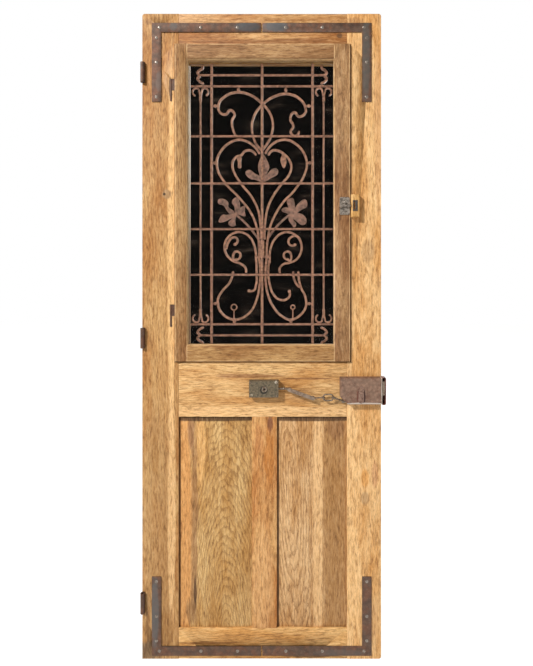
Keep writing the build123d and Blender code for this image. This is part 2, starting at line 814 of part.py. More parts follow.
bud_left_outline = [
    (-0.5, 3.5), (-0.46, 3.56), (-0.41, 3.5), (-0.42, 3.4), (-0.43, 3.29), (-0.47, 3.29), (-0.48, 3.39),
]
bud_right_outline = [
    (0.37, 3.5), (0.42, 3.57), (0.47, 3.5), (0.48, 3.4), (0.43, 3.29), (0.38, 3.38),
]
scroll_bars = {
    "crown_scrolls": [(crown_left_line, near_plane), (crown_right_line, far_plane)],
    "outer_heart": [(outer_heart_left_line, near_plane), (outer_heart_right_line, near_plane)],
    "inner_heart": [(inner_heart_left_line, near_plane), (inner_heart_right_line, near_plane)],
    "lyre_scrolls": [
        (lyre_left_line, near_plane),
        (lyre_right_line, near_plane),
        (low_curl_line, near_plane),
        (high_curl_line, near_plane),
        (mirrored(low_curl_line), near_plane),
        (high_curl_right_line, near_plane),
    ],
    "bulb_scrolls": [
        (bulb_left_line, near_plane),
        (bulb_right_line, near_plane),
        (spur_left_line, near_plane),
        (spur_right_line, near_plane),
        (twin_right_line, far_plane),
    ],
}

# Short ties from the scrolls to the bars, each from one place to another, with a button halfway
scroll_ties = {
    "crown_scrolls": [
        ((-1, 4.6), (-0.86, 4.6)),
        ((1, 4.6), (0.85, 4.6)),
        ((-0.47, 5), (-0.47, 4.88)),
        ((0.47, 5), (0.47, 4.87)),
    ],
    "outer_heart": [((-1, 3.4), (-0.89, 3.4)), ((1, 3.4), (0.89, 3.4))],
    "bulb_scrolls": [
        ((-1, 0.43), (-0.87, 0.43)),
        ((1, 0.43), (0.87, 0.43)),
        ((-0.55, 0), (-0.55, 0.1)),
        ((0.57, 0), (0.57, 0.1)),
    ],
}
scroll_buttons = {
    "lyre_scrolls": [
        low_curl_line[-1],
        mirrored(low_curl_line)[-1],
        high_curl_line[-1],
        high_curl_right_line[-1],
    ],
    "bulb_scrolls": [(0.145, 1.31), (-0.26, 0.7), (0.54, 0.69)],
}
# Rings in the two bulbs, each on a short stem: place and outer radius
bulb_rings = [((-0.56, 0.355), 11), ((0.61, 0.355), 8.5)]
ring_stem_foot = 0.1


def button(place):
    """A round boss at a place of the grille, standing a little proud of the scrolls."""
    tie_front, tie_back = near_plane - scroll_depth / 2, near_plane + scroll_depth / 2 - tie_setback
    upright_disc(*grille_place(*place), button_radius, (tie_front - tie_setback, tie_back))


def tie(start, end):
    """A short bar between two places of the grille, with a button halfway."""
    (ax, az), (bx, bz) = grille_place(*start), grille_place(*end)
    half = tie_width / 2
    block(
        (min(ax, bx) - half, max(ax, bx) + half),
        (near_plane - scroll_depth / 2, near_plane + scroll_depth / 2 - tie_setback),
        (min(az, bz) - half, max(az, bz) + half),
    )
    button(((start[0] + end[0]) / 2, (start[1] + end[1]) / 2))


def stemmed_ring(place, radius):
    """A small wire ring on a short stem, inside a bulb."""
    x, z = grille_place(*place)
    ring_y = (near_plane - scroll_depth / 2, near_plane)
    upright_disc(x, z, radius, ring_y)
    upright_disc(x, z, radius - ring_wire, ring_y, Mode.SUBTRACT)
    stem_z = (grille_place(0, ring_stem_foot)[1], z - radius + ring_wire / 2)
    block((x - ring_wire / 2, x + ring_wire / 2), ring_y, stem_z)


for name, bars in scroll_bars.items():
    with BuildPart() as scroll:
        for line, plane in bars:
            forged(line, plane)
        for start, end in scroll_ties.get(name, []):
            tie(start, end)
        for place in scroll_buttons.get(name, []):
            button(place)
        if name == "inner_heart":
            petal(bud_left_outline, near_plane)
            petal(bud_right_outline, near_plane)
        if name == "bulb_scrolls":
            for place, radius in bulb_rings:
                stemmed_ring(place, radius)
    finish(scroll, name)

# Leaf sprigs: a stem and five flat leaves, broken and curled as they are now
sprig_left_leaves = [
    [
        (-0.56, 2.36), (-0.68, 2.52), (-0.74, 2.63), (-0.88, 2.62),
        (-0.87, 2.54), (-0.8, 2.52), (-0.73, 2.44), (-0.6, 2.32),
    ],
    [(-0.53, 2.36), (-0.58, 2.52), (-0.56, 2.66), (-0.5, 2.68), (-0.46, 2.6), (-0.5, 2.36)],
    [(-0.53, 2.34), (-0.47, 2.43), (-0.34, 2.48), (-0.35, 2.38), (-0.34, 2.28), (-0.41, 2.29)],
    [
        (-0.56, 2.35), (-0.74, 2.31), (-0.86, 2.22), (-0.87, 2.16),
        (-0.76, 2.16), (-0.64, 2.22), (-0.54, 2.31),
    ],
    [
        (-0.59, 2.32), (-0.64, 2.19), (-0.67, 2.1), (-0.61, 2.06),
        (-0.54, 2.08), (-0.54, 2.18), (-0.54, 2.32),
    ],
]
sprig_right_leaves = [
    [
        (0.55, 2.35), (0.68, 2.49), (0.76, 2.59), (0.86, 2.63),
        (0.9, 2.56), (0.88, 2.47), (0.79, 2.42), (0.6, 2.32),
    ],
    [(0.56, 2.35), (0.5, 2.54), (0.53, 2.65), (0.61, 2.66), (0.64, 2.59), (0.6, 2.35)],
    [(0.57, 2.32), (0.46, 2.35), (0.39, 2.42), (0.43, 2.46), (0.58, 2.37)],
    [
        (0.55, 2.34), (0.66, 2.34), (0.81, 2.31), (0.88, 2.22),
        (0.88, 2.14), (0.79, 2.09), (0.71, 2.15), (0.56, 2.29),
    ],
    [(0.54, 2.32), (0.54, 2.17), (0.59, 2.09), (0.64, 2.04), (0.68, 2.12), (0.62, 2.2), (0.6, 2.32)],
]
leaf_plane = far_plane
sprigs = {
    "leaf_sprig_left": (stem_left_line, sprig_left_leaves),
    "leaf_sprig_right": (stem_right_line, sprig_right_leaves),
}

for name, (stem, leaves) in sprigs.items():
    with BuildPart() as sprig:
        forged(stem, leaf_plane)
        for leaf in leaves:
            petal(leaf, leaf_plane)
    finish(sprig, name)

centre_leaf_outlines = [
    [
        (0.02, 3.57), (-0.06, 3.43), (-0.08, 3.28), (-0.05, 3.12), (-0.02, 3.01),
        (0.04, 3.01), (0.08, 3.13), (0.14, 3.3), (0.09, 3.47),
    ],
    [(0, 3.01), (-0.18, 3.05), (-0.3, 3.12), (-0.33, 3.2), (-0.26, 3.25), (-0.15, 3.18), (0, 3.06)],
    [(0.03, 3.01), (0.08, 3.14), (0.15, 3.22), (0.23, 3.28), (0.31, 3.26), (0.31, 3.17), (0.2, 3.09)],
]

with BuildPart() as centre_leaves:
    for outline in centre_leaf_outlines:
        petal(outline, bar_plane + upright_radius + leaf_plate / 2)
finish(centre_leaves, "centre_leaves")

# Tie plate and collars that bind the strands at the middle, in front of them
tie_y = (bar_plane + upright_radius - leaf_plate, bar_plane + upright_radius)
collar_z = (grille_place(0, 1.385)[1], grille_place(0, 1.445)[1])

with BuildPart() as grille_collars:
    for near_u, far_u in ((-0.145, -0.035), (0.05, 0.175)):
        block((grille_place(near_u, 0)[0], grille_place(far_u, 0)[0]), tie_y, collar_z)
    sheath_x = (grille_middle - sheath_width / 2, grille_middle + sheath_width / 2)
    sheath_front = bar_plane - upright_radius - sheath_thickness
    sheath_y = (sheath_front, bar_plane - upright_radius)
    block(sheath_x, sheath_y, (collar_z[0] + sheath_thickness, grille_place(0, 1.76)[1]))
finish(grille_collars, "grille_collars")

# Sash: stiles of the full height, rails tenoned between them, a bevel round the glass


def sash_hollow():
    """The bevel in front of the glass and the rebate behind it, cut from whichever piece is made."""
    middle = ((sight_left + sight_right) / 2, (sight_bottom + sight_top) / 2)
    with BuildSketch(facing(sash_front + sash_bevel)) as sight:
        with Locations(middle):
            Rectangle(sight_right - sight_left, sight_top - sight_bottom)
    extrude(sight.sketch, amount=sash_bevel, taper=-45, mode=Mode.SUBTRACT)
    x = (sight_left - glass_lap, sight_right + glass_lap)
    z = (sight_bottom - glass_lap, sight_top + glass_lap)
    block(x, (glass_front, sash_back), z, Mode.SUBTRACT)


sash_tenon_y = (
    glass_front - sash_tenon_cover - sash_tenon_thickness,
    glass_front - sash_tenon_cover,
)
sash_rails = {
    "sash_top_rail": (sight_top, sash_top),
    "sash_bottom_rail": (sash_bottom, sight_bottom),
}


def sash_tenons(z, mode=Mode.ADD):
    """Both tenons of a sash rail, or the mortises for them."""
    span = (z[0] + tenon_shoulder, z[1] - tenon_shoulder)
    block((sight_left - sash_tenon_length, sight_left), sash_tenon_y, span, mode)
    block((sight_right, sight_right + sash_tenon_length), sash_tenon_y, span, mode)


sash_stiles = {
    "sash_left_stile": (sash_left, sight_left),
    "sash_right_stile": (sight_right, sash_right),
}

for name, x in sash_stiles.items():
    with BuildPart() as sash_stile:
        block(x, (sash_front, sash_back), (sash_bottom, sash_top))
        for span in sash_rails.values():
            sash_tenons(span, Mode.SUBTRACT)
        sash_hollow()
    finish(sash_stile, name)

for name, span in sash_rails.items():
    with BuildPart() as sash_rail:
        block((sight_left, sight_right), (sash_front, sash_back), span)
        sash_tenons(span)
        sash_hollow()
    finish(sash_rail, name)

glass_back = glass_front + glass_thickness
glass_edge = glass_lap - glass_play
glass_x = (sight_left - glass_edge, sight_right + glass_edge)
glass_z = (sight_bottom - glass_edge, sight_top + glass_edge)
bead_left = (sight_left - glass_lap, sight_left - glass_play)
bead_right = (sight_right + glass_play, sight_right + glass_lap)
bead_bottom = (sight_bottom - glass_lap, sight_bottom - glass_play)
bead_top = (sight_top + glass_play, sight_top + glass_lap)

with BuildPart() as glass_pane:
    block(glass_x, (glass_front, glass_back), glass_z)
finish(glass_pane, "glass_pane")

with BuildPart() as glazing_beads:
    for x in (bead_left, bead_right):
        block(x, (glass_back, sash_back), (bead_bottom[0], bead_top[1]))
    for z in (bead_bottom, bead_top):
        block((bead_left[1], bead_right[0]), (glass_back, sash_back), z)
finish(glazing_beads, "glazing_beads")

# Sash hinges. The lower knuckle, its pin and its blade stay in the stile; the upper knuckle and the
# plate on the sash turn with the sash.
sash_hinge_half = sash_hinge_height / 2

with BuildPart() as sash_hinge_pins:
    for height in sash_hinges.values():
        bottom, parting = height - sash_hinge_half, height - sash_hinge_room
        post(sash_hinge_x, sash_hinge_y, sash_knuckle_radius, (bottom, parting))
        pin_z = (parting, height + sash_hinge_half - 2 * sash_hinge_room)
        post(sash_hinge_x, sash_hinge_y, sash_pin_radius, pin_z)
        blade_x = (sash_hinge_x - sash_plate_thickness / 2, sash_hinge_x + sash_plate_thickness / 2)
        block(blade_x, (sash_hinge_y, front + sash_blade_depth), (bottom, parting))
finish(sash_hinge_pins, "sash_hinge_pins")

with BuildPart() as sash_hinge_plates:
    for height in sash_hinges.values():
        z = (height - sash_hinge_room + sash_hinge_parting, height + sash_hinge_half)
        post(sash_hinge_x, sash_hinge_y, sash_knuckle_radius, z)
        block((sash_hinge_x, sash_left), (sash_hinge_y - sash_plate_thickness, sash_hinge_y), z)
        side_x = (sash_left - sash_plate_thickness, sash_left)
        block(side_x, (sash_hinge_y - sash_plate_thickness, front + sash_plate_depth), z)
        post(sash_hinge_x, sash_hinge_y, sash_pin_radius + hinge_play, z, Mode.SUBTRACT)
finish(sash_hinge_plates, "sash_hinge_plates")

# Sash latch: a plate with two staples on the sash, and a bolt that slides in them
latch_plate_x = (sash_right - latch_plate_edge - latch_plate_width, sash_right - latch_plate_edge)
latch_plate_z = (latch_z - latch_plate_height / 2, latch_z + latch_plate_height / 2)
staple_centres = (latch_plate_x[0] + latch_staple_inset, latch_plate_x[1] - latch_staple_inset)
staple_outer = latch_bar_radius + cover_play + latch_staple_wall

with BuildPart() as sash_latch_plate:
    block(latch_plate_x, (latch_plate_front, sash_front), latch_plate_z)
    fillet(sash_latch_plate.edges().filter_by(Axis.Y), latch_staple_inset)
    for centre in staple_centres:
        x = (centre - latch_staple_width / 2, centre + latch_staple_width / 2)
        bar_along(latch_y, latch_z, staple_outer, x)
        block(x, (latch_y, latch_plate_front), (latch_z - staple_outer, latch_z + staple_outer))
        bar_along(latch_y, latch_z, latch_bar_radius + cover_play, x, Mode.SUBTRACT)
finish(sash_latch_plate, "sash_latch_plate")

knob_x = latch_plate_x[0] + latch_knob_place

with BuildPart() as sash_bolt:
    bar_along(latch_y, latch_z, latch_bar_radius, (latch_plate_x[0] + latch_plate_edge, sash_right))
    post(knob_x, latch_y, latch_neck_radius, (latch_z, latch_z + latch_knob_rise))
    with Locations((knob_x, latch_y, latch_z + latch_knob_rise)):
        Sphere(latch_knob_radius)
finish(sash_bolt, "sash_bolt")

# Keeper block for that bolt, with a slotted plate on its face
block_x = (block_left, block_left + keeper_block_width)
block_z = (latch_z - keeper_block_height / 2, latch_z + keeper_block_height / 2)
keeper_plate_left = block_left + keeper_plate_inset
keeper_plate_x = (keeper_plate_left, keeper_plate_left + keeper_plate_width)
keeper_slot_left = keeper_plate_left + keeper_slot_inset
keeper_slot_x = (keeper_slot_left, keeper_slot_left + keeper_slot_width)
keeper_slot_z = (latch_z - keeper_slot_height / 2, latch_z + keeper_slot_height / 2)

with BuildPart() as keeper_block:
    block(block_x, (block_front, front), block_z)
    chamfer(keeper_block.faces().sort_by(Axis.Y)[0].edges(), keeper_block_bevel)
    block(keeper_slot_x, (block_front, block_front + keeper_pocket_depth), keeper_slot_z, Mode.SUBTRACT)
    half = latch_bar_radius + bolt_play
    mortise_z = (latch_z - half, latch_z + half)
    block((block_left, keeper_slot_x[1]), (latch_y - half, latch_y + half), mortise_z, Mode.SUBTRACT)
finish(keeper_block, "keeper_block")

keeper_plate_z = (latch_z - keeper_plate_height / 2, latch_z + keeper_plate_height / 2)

with BuildPart() as keeper_plate:
    plate_y = (block_front - keeper_plate_thickness, block_front)
    block(keeper_plate_x, plate_y, keeper_plate_z)
    block(keeper_slot_x, plate_y, keeper_slot_z, Mode.SUBTRACT)
finish(keeper_plate, "keeper_plate")

# Door hinges: a knuckle with a leaf sunk flush in the stile's edge, each lifting off a pin below it
with BuildPart() as door_hinges:
    for height in hinge_heights:
        z = (height - hinge_length / 2, height + hinge_length / 2)
        post(*hinge_axis, hinge_knuckle_radius, z)
        plate_y = (hinge_axis[1] + hinge_bore_radius + knuckle_room, front + hinge_plate_depth)
        block((left_edge, hinge_bed), plate_y, z)
        post(*hinge_axis, hinge_bore_radius, z, Mode.SUBTRACT)
        for place in hinge_screw_places(height):
            sink = left_edge + hinge_plate_thickness / 2
            bar_along(*place, hinge_screw_head, (left_edge, sink), Mode.SUBTRACT)
            bar_along(*place, screw_radius + screw_play, (sink, hinge_bed), Mode.SUBTRACT)
finish(door_hinges, "door_hinges")

with BuildPart() as hinge_screws:
    for height in hinge_heights:
        for place in hinge_screw_places(height):
            sink = left_edge + hinge_plate_thickness / 2
            bar_along(*place, hinge_screw_head - screw_play, (left_edge, sink))
            bar_along(*place, screw_radius, (sink, hinge_screw_x[1]))
finish(hinge_screws, "hinge_screws")

# Corner straps and their screws
strap_y = (front - strap_thickness, front)

for name, (side, end, corner_x, corner_z) in strap_corners.items():
    with BuildPart() as strap:
        leg_x = sorted((corner_x, corner_x - side * strap_width))
        block(leg_x, strap_y, sorted((corner_z, corner_z - end * strap_leg)))
        arm_x = sorted((corner_x, side * strap_meeting / 2))
        block(arm_x, strap_y, sorted((corner_z, corner_z - end * strap_width)))
        for place in strap_screws(side, end, corner_x, corner_z):
            upright_disc(*place, screw_radius + screw_play, strap_y, Mode.SUBTRACT)
    finish(strap, name)

with BuildPart() as strap_screw_set:
    for place in screw_places:
        head_y = (strap_y[0] - screw_head_rise, strap_y[0])
        upright_disc(*place, screw_head_radius, head_y)
        upright_disc(*place, screw_radius, (strap_y[0], front + screw_length))
finish(strap_screw_set, "strap_screws")

# Transfer box: its square hole takes a spindle from the far side. The follower's upper wing pushes
# the hook of the pull rod to the left.
box_back = front - box_wall
cover_back = box_front + box_wall
rivet_inset = box_wall + rivet_post / 2
rivet_places = [
    (x, z)
    for x in (box_left + rivet_inset, box_right - rivet_inset)
    for z in (box_bottom + rivet_inset, box_top - rivet_inset)
]

with BuildPart() as transfer_box_case:
    block((box_left, box_right), (cover_back, front), (box_bottom, box_top))
    inner_x = (box_left + box_wall, box_right - box_wall)
    inner_z = (box_bottom + box_wall, box_top - box_wall)
    block(inner_x, (cover_back, box_back), inner_z, Mode.SUBTRACT)
    for x, z in rivet_places:
        half = rivet_post / 2
        block((x - half, x + half), (cover_back, box_back), (z - half, z + half))
        upright_disc(x, z, rivet_shank, (cover_back, box_back), Mode.SUBTRACT)
    upright_disc(*spindle, follower_radius + hinge_play, (box_back, front), Mode.SUBTRACT)
    rod_hole = (inner_x[1], box_right)
    bar_along(linkage_y, spindle[1], pull_rod_radius + bolt_play, rod_hole, Mode.SUBTRACT)
finish(transfer_box_case, "transfer_box_case")

with BuildPart() as transfer_box_cover:
    block((box_left, box_right), (box_front, cover_back), (box_bottom, box_top))
    upright_disc(*spindle, follower_radius + hinge_play, (box_front, cover_back), Mode.SUBTRACT)
    for place in rivet_places:
        upright_disc(*place, rivet_shank, (box_front, cover_back), Mode.SUBTRACT)
finish(transfer_box_cover, "transfer_box_cover")

with BuildPart() as box_rivets:
    for place in rivet_places:
        upright_disc(*place, rivet_radius, (box_front - rivet_rise, box_front))
        upright_disc(*place, rivet_shank, (box_front, box_back))
finish(box_rivets, "box_rivets")

wing_y = (linkage_y - follower_thickness / 2, linkage_y + follower_thickness / 2)

with BuildPart() as spindle_follower:
    upright_disc(*spindle, follower_radius, (box_front - follower_boss, front - bolt_play))
    wing_x = (spindle[0] - follower_wing_width / 2, spindle[0] + follower_wing_width / 2)
    block(wing_x, wing_y, (spindle[1] - follower_wing, spindle[1] + follower_wing))
    square_x = (spindle[0] - spindle_square / 2, spindle[0] + spindle_square / 2)
    square_z = (spindle[1] - spindle_square / 2, spindle[1] + spindle_square / 2)
    block(square_x, (box_front - follower_boss, front), square_z, Mode.SUBTRACT)
finish(spindle_follower, "spindle_follower")


def strut(p, q, y):
    """A straight piece of link wire between two places in one upright plane."""
    run = hypot(q[0] - p[0], q[1] - p[1])
    start = Plane(origin=(p[0], y, p[1]), z_dir=(q[0] - p[0], 0, q[1] - p[1]))
    with BuildSketch(start) as section:
        Circle(link_wire)
    extrude(section.sketch, amount=run)


def toward(p, q, distance):
    """The place at a distance from p on the way to q."""
    run = hypot(q[0] - p[0], q[1] - p[1])
    return p[0] + (q[0] - p[0]) * distance / run, p[1] + (q[1] - p[1]) * distance / run


eye_y = (linkage_y - eye_thickness / 2, linkage_y + eye_thickness / 2)
pin_hole = link_wire + hinge_play
hook_inner = link_wire + hook_play
band_reach = hook_inner + band_lap
hook_outer = hook_inner + band_thickness
yoke_left = spindle[0] - follower_wing_width / 2 - yoke_play - yoke_bar
yoke_right = spindle[0] + yoke_reach
yoke_top = spindle[1] + follower_wing + yoke_play + yoke_bar
yoke_y = (linkage_y - yoke_thickness / 2, linkage_y + yoke_thickness / 2)

with BuildPart() as pull_rod:
    finger_z = (spindle[1] + follower_radius + yoke_play, yoke_top)
    block((yoke_left, yoke_left + yoke_bar), yoke_y, finger_z)
    block((yoke_left, yoke_right + yoke_bar), yoke_y, (yoke_top - yoke_bar, yoke_top))
    block((yoke_right, yoke_right + yoke_bar), yoke_y, (spindle[1] - yoke_bar, yoke_top))
    rod_end = rod_eye[0] - flat_bar_width / 2 - cover_play
    bar_along(linkage_y, spindle[1], pull_rod_radius, (yoke_right + yoke_bar, rod_end))
    neck_z = (spindle[1] - pull_rod_radius, spindle[1] + pull_rod_radius)
    block((rod_end - pull_rod_radius, rod_end + eye_neck), eye_y, neck_z)
    for offset in bead_offsets:
        with Locations((box_right + offset, linkage_y, spindle[1])):
            Sphere(bead_radius)
    upright_disc(*rod_eye, eye_radius, eye_y)
    upright_disc(*rod_eye, pin_hole, eye_y, Mode.SUBTRACT)
finish(pull_rod, "pull_rod")

bar_back = eye_y[0] - cover_play
pin_end = eye_y[1] + cover_play + rivet_rise

with BuildPart() as flat_bar:
    run = hypot(bar_eye[0] - rod_eye[0], bar_eye[1] - rod_eye[1])
    middle = toward(rod_eye, bar_eye, run / 2)
    lean = degrees(atan2(bar_eye[1] - rod_eye[1], bar_eye[0] - rod_eye[0]))
    with BuildSketch(facing(bar_back)) as outline:
        with Locations(middle):
            SlotCenterToCenter(run, flat_bar_width, rotation=lean)
    extrude(outline.sketch, amount=flat_bar_thickness)
    for place in (rod_eye, bar_eye):
        upright_disc(*place, link_wire, (bar_back, pin_end))
        upright_disc(*place, pin_head_radius, (pin_end - rivet_rise, pin_end))
finish(flat_bar, "flat_bar")


def wire_hook(centre):
    """A band bent round the wire of the oval link."""
    z = (centre[1] - band_height / 2, centre[1] + band_height / 2)
    post(centre[0], linkage_y, hook_outer, z)


def wire_hook_hole(centre):
    """The room for the wire inside that band."""
    z = (centre[1] - link_wire, centre[1] + link_wire)
    post(centre[0], linkage_y, hook_inner, z, Mode.SUBTRACT)


with BuildPart() as tail_rod:
    upright_disc(*bar_eye, eye_radius, eye_y)
    strut(toward(bar_eye, oval_end, eye_radius - eye_lap), toward(oval_end, bar_eye, band_reach), linkage_y)
    wire_hook(oval_end)
    wire_hook_hole(oval_end)
    upright_disc(*bar_eye, pin_hole, eye_y, Mode.SUBTRACT)
finish(tail_rod, "tail_rod")

with BuildPart() as oval_link:
    bow = oval_width / 2 - link_wire
    near, far = oval_end[0] + bow, oval_far_end[0] - bow
    level = oval_end[1]
    with BuildLine(facing(linkage_y)) as loop:
        Line((near, level + bow), (far, level + bow))
        ThreePointArc((far, level + bow), (far + bow, level), (far, level - bow))
        Line((far, level - bow), (near, level - bow))
        ThreePointArc((near, level - bow), (near - bow, level), (near, level + bow))
    path = loop.wire()
    with BuildSketch(Plane(origin=path @ 0, z_dir=path % 0)) as section:
        Circle(link_wire)
    sweep(section.sketch, path=path)
finish(oval_link, "oval_link")

ear_front = linkage_y + link_wire + bolt_play
ear_y = (ear_front, ear_front + ear_thickness)

with BuildPart() as end_hook:
    wire_hook(oval_far_end)
    strut(toward(oval_far_end, tail_eye, band_reach), tail_eye, linkage_y)
    wire_hook_hole(oval_far_end)
    upright_disc(*tail_eye, link_wire, (linkage_y, ear_y[1] + hook_pin_end))
finish(end_hook, "end_hook")

# Rim lock with its latch, its dead bolt and the cover that hangs over the keyhole
lock_back = front - lock_wall
lock_cover_back = lock_front + lock_cover_thickness
lock_outline = [
    (lock_left, lock_bottom + lock_corner_cut),
    (lock_left + lock_corner_cut, lock_bottom),
    (right_edge, lock_bottom),
    (right_edge, lock_top),
    (lock_left, lock_top),
]
latch_head_z = (latch_head_top - latch_head_height, latch_head_top)
latch_head_y = (bolt_y - latch_head_thickness / 2, bolt_y + latch_head_thickness / 2)
shank_z = (latch_head_top - latch_shank_height, latch_head_top)
shank_y = (bolt_y - latch_bolt_thickness / 2, bolt_y + latch_bolt_thickness / 2)
dead_bolt_foot = lock_bottom + lock_wall + bolt_play
dead_bolt_z = (dead_bolt_foot, dead_bolt_foot + dead_bolt_height)
dead_bolt_y = (bolt_y - dead_bolt_thickness / 2, bolt_y + dead_bolt_thickness / 2)


def loosely(span):
    """A span widened by the bolts' play at both ends."""
    return span[0] - bolt_play, span[1] + bolt_play


with BuildPart() as lock_case:
    with BuildSketch(facing(front)) as outline:
        with BuildLine():
            Polyline(*lock_outline, close=True)
        make_face()
    extrude(outline.sketch, amount=front - lock_cover_back)
    hollow_x = (lock_left + lock_wall, right_edge - lock_wall)
    hollow_z = (lock_bottom + lock_wall, lock_top - lock_wall)
    block(hollow_x, (lock_cover_back, lock_back), hollow_z, Mode.SUBTRACT)
    guide_x = (right_edge - guide_offset, right_edge - guide_offset + 2 * lock_wall)
    block(guide_x, (lock_cover_back, lock_back), (shank_z[0] - lock_wall, hollow_z[1]))
    block(guide_x, (lock_cover_back, lock_back), (hollow_z[0], dead_bolt_z[1] + lock_wall))
    wall_x = (right_edge - lock_wall, right_edge)
    block(guide_x, loosely(shank_y), loosely(shank_z), Mode.SUBTRACT)
    block(guide_x, loosely(dead_bolt_y), loosely(dead_bolt_z), Mode.SUBTRACT)
    block(wall_x, loosely(latch_head_y), loosely(latch_head_z), Mode.SUBTRACT)
    block(wall_x, loosely(dead_bolt_y), loosely(dead_bolt_z), Mode.SUBTRACT)
finish(lock_case, "lock_case")

with BuildPart() as lock_cover:
    with BuildSketch(facing(lock_cover_back)) as outline:
        with BuildLine():
            Polyline(*lock_outline, close=True)
        make_face()
    extrude(outline.sketch, amount=lock_cover_thickness)
    chamfer(lock_cover.faces().sort_by(Axis.Y)[0].edges(), lock_bevel)
    upright_disc(*key_centre, keyhole_radius, (lock_front, lock_cover_back), Mode.SUBTRACT)
    slot_x = (key_centre[0] - keyhole_slot / 2, key_centre[0] + keyhole_slot / 2)
    slot_z = (key_centre[1] - keyhole_drop, key_centre[1])
    block(slot_x, (lock_front, lock_cover_back), slot_z, Mode.SUBTRACT)
    pivot_end = lock_front - cover_thickness - 2 * cover_play - rivet_rise
    upright_disc(*cover_pivot, cover_pivot_radius, (pivot_end, lock_front))
    upright_disc(*cover_pivot, 2 * cover_pivot_radius, (pivot_end, pivot_end + rivet_rise))
finish(lock_cover, "lock_cover")

with BuildPart() as keyhole_cover:
    with BuildSketch(facing(lock_front - cover_play)) as outline:
        with Locations(cover_pivot):
            Circle(cover_width / 2)
        with Locations((cover_pivot[0], cover_pivot[1] - cover_length / 2)):
            Rectangle(cover_width, cover_length)
        with Locations((cover_pivot[0], cover_pivot[1] - cover_length)):
            Circle(cover_width / 2)
    extrude(outline.sketch, amount=cover_thickness)
    through = (lock_front - cover_play - cover_thickness, lock_front - cover_play)
    upright_disc(*cover_pivot, cover_pivot_radius + hinge_play, through, Mode.SUBTRACT)
finish(keyhole_cover, "keyhole_cover")

with BuildPart() as latch_bolt:
    head_x = (latch_reach - latch_head_depth, latch_reach)
    block(head_x, latch_head_y, latch_head_z)
    tail_left = tail_eye[0] + eye_radius + eye_lap
    tail_x = (tail_left, tail_left + tail_width)
    block((tail_x[0], head_x[0]), shank_y, shank_z)
    block(tail_x, ear_y, (dead_bolt_foot, shank_z[1]))
    block((tail_eye[0], tail_x[0]), ear_y, (dead_bolt_foot, tail_eye[1] + eye_radius))
    upright_disc(*tail_eye, eye_radius, ear_y)
    upright_disc(*tail_eye, tail_eye_hole, ear_y, Mode.SUBTRACT)
finish(latch_bolt, "latch_bolt")

with BuildPart() as dead_bolt:
    block((right_edge - dead_bolt_length, right_edge), dead_bolt_y, dead_bolt_z)
finish(dead_bolt, "dead_bolt")

# Keeper that both bolts enter, bent from one strip, against the side of the lock
keeper_y = (bolt_y - lock_keeper_depth / 2, bolt_y + lock_keeper_depth / 2)

with BuildPart() as lock_keeper:
    half = lock_keeper_height / 2
    block((right_edge, keeper_right), keeper_y, (keeper_middle - half, keeper_middle + half))
    corners = lock_keeper.edges().filter_by(Axis.Y).group_by(Axis.X)[-1]
    fillet(corners, lock_keeper_radius)
    inside = half - lock_keeper_wall
    inside_z = (keeper_middle - inside, keeper_middle + inside)
    block((right_edge, keeper_right - lock_keeper_wall), keeper_y, inside_z, Mode.SUBTRACT)
finish(lock_keeper, "lock_keeper")
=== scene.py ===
"""Looks of an old oak door leaf: worn oak, a waxed sash, a rusty forged grille and iron fittings.

Metres, in the part's own frame: X runs from the hinges to the lock, Y from the inner face through the
leaf, and Z up. The camera stands in front of the inner face.
"""

import json
import math

import bmesh
import bpy
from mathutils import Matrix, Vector


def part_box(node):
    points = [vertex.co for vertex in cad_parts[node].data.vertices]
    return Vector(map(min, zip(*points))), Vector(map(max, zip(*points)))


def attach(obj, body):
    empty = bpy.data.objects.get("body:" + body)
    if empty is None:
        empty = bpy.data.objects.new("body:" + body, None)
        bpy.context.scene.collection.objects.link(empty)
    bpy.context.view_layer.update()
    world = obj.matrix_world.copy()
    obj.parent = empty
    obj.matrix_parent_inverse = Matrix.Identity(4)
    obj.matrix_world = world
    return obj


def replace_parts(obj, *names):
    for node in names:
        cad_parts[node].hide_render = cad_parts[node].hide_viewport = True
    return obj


MM = 0.001
# Points nearer than this are one point
MERGED = 0.01 * MM

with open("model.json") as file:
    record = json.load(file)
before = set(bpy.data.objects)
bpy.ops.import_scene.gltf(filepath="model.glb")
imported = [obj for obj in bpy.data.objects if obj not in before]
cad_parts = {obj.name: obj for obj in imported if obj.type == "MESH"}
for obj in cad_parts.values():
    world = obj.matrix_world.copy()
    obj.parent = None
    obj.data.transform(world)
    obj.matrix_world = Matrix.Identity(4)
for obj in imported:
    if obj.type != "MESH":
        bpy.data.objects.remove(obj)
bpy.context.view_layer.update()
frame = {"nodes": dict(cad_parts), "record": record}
nodes = frame["nodes"]

leaf_low, leaf_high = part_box("left_stile")
front = leaf_low.y
back = leaf_high.y
leaf_top = leaf_high.z


# Materials


def shade(code):
    """A colour for a shader from its sRGB hex code."""
    channels = [int(code[i : i + 2], 16) / 255 for i in (0, 2, 4)]
    flat = [c / 12.92 if c <= 0.04045 else ((c + 0.055) / 1.055) ** 2.4 for c in channels]
    return (*flat, 1)


def new_material(name):
    """An empty material and its node tree."""
    material = bpy.data.materials.new(name)
    material.use_nodes = True
    material.node_tree.nodes.clear()
    return material, material.node_tree


def add(tree, kind, sockets=None, links=None, **settings):
    """A node with its settings, its sockets' values and its links."""
    node = tree.nodes.new(kind)
    for name, value in settings.items():
        setattr(node, name, value)
    for name, value in (sockets or {}).items():
        node.inputs[name].default_value = value
    for name, source in (links or {}).items():
        tree.links.new(source, node.inputs[name])
    return node


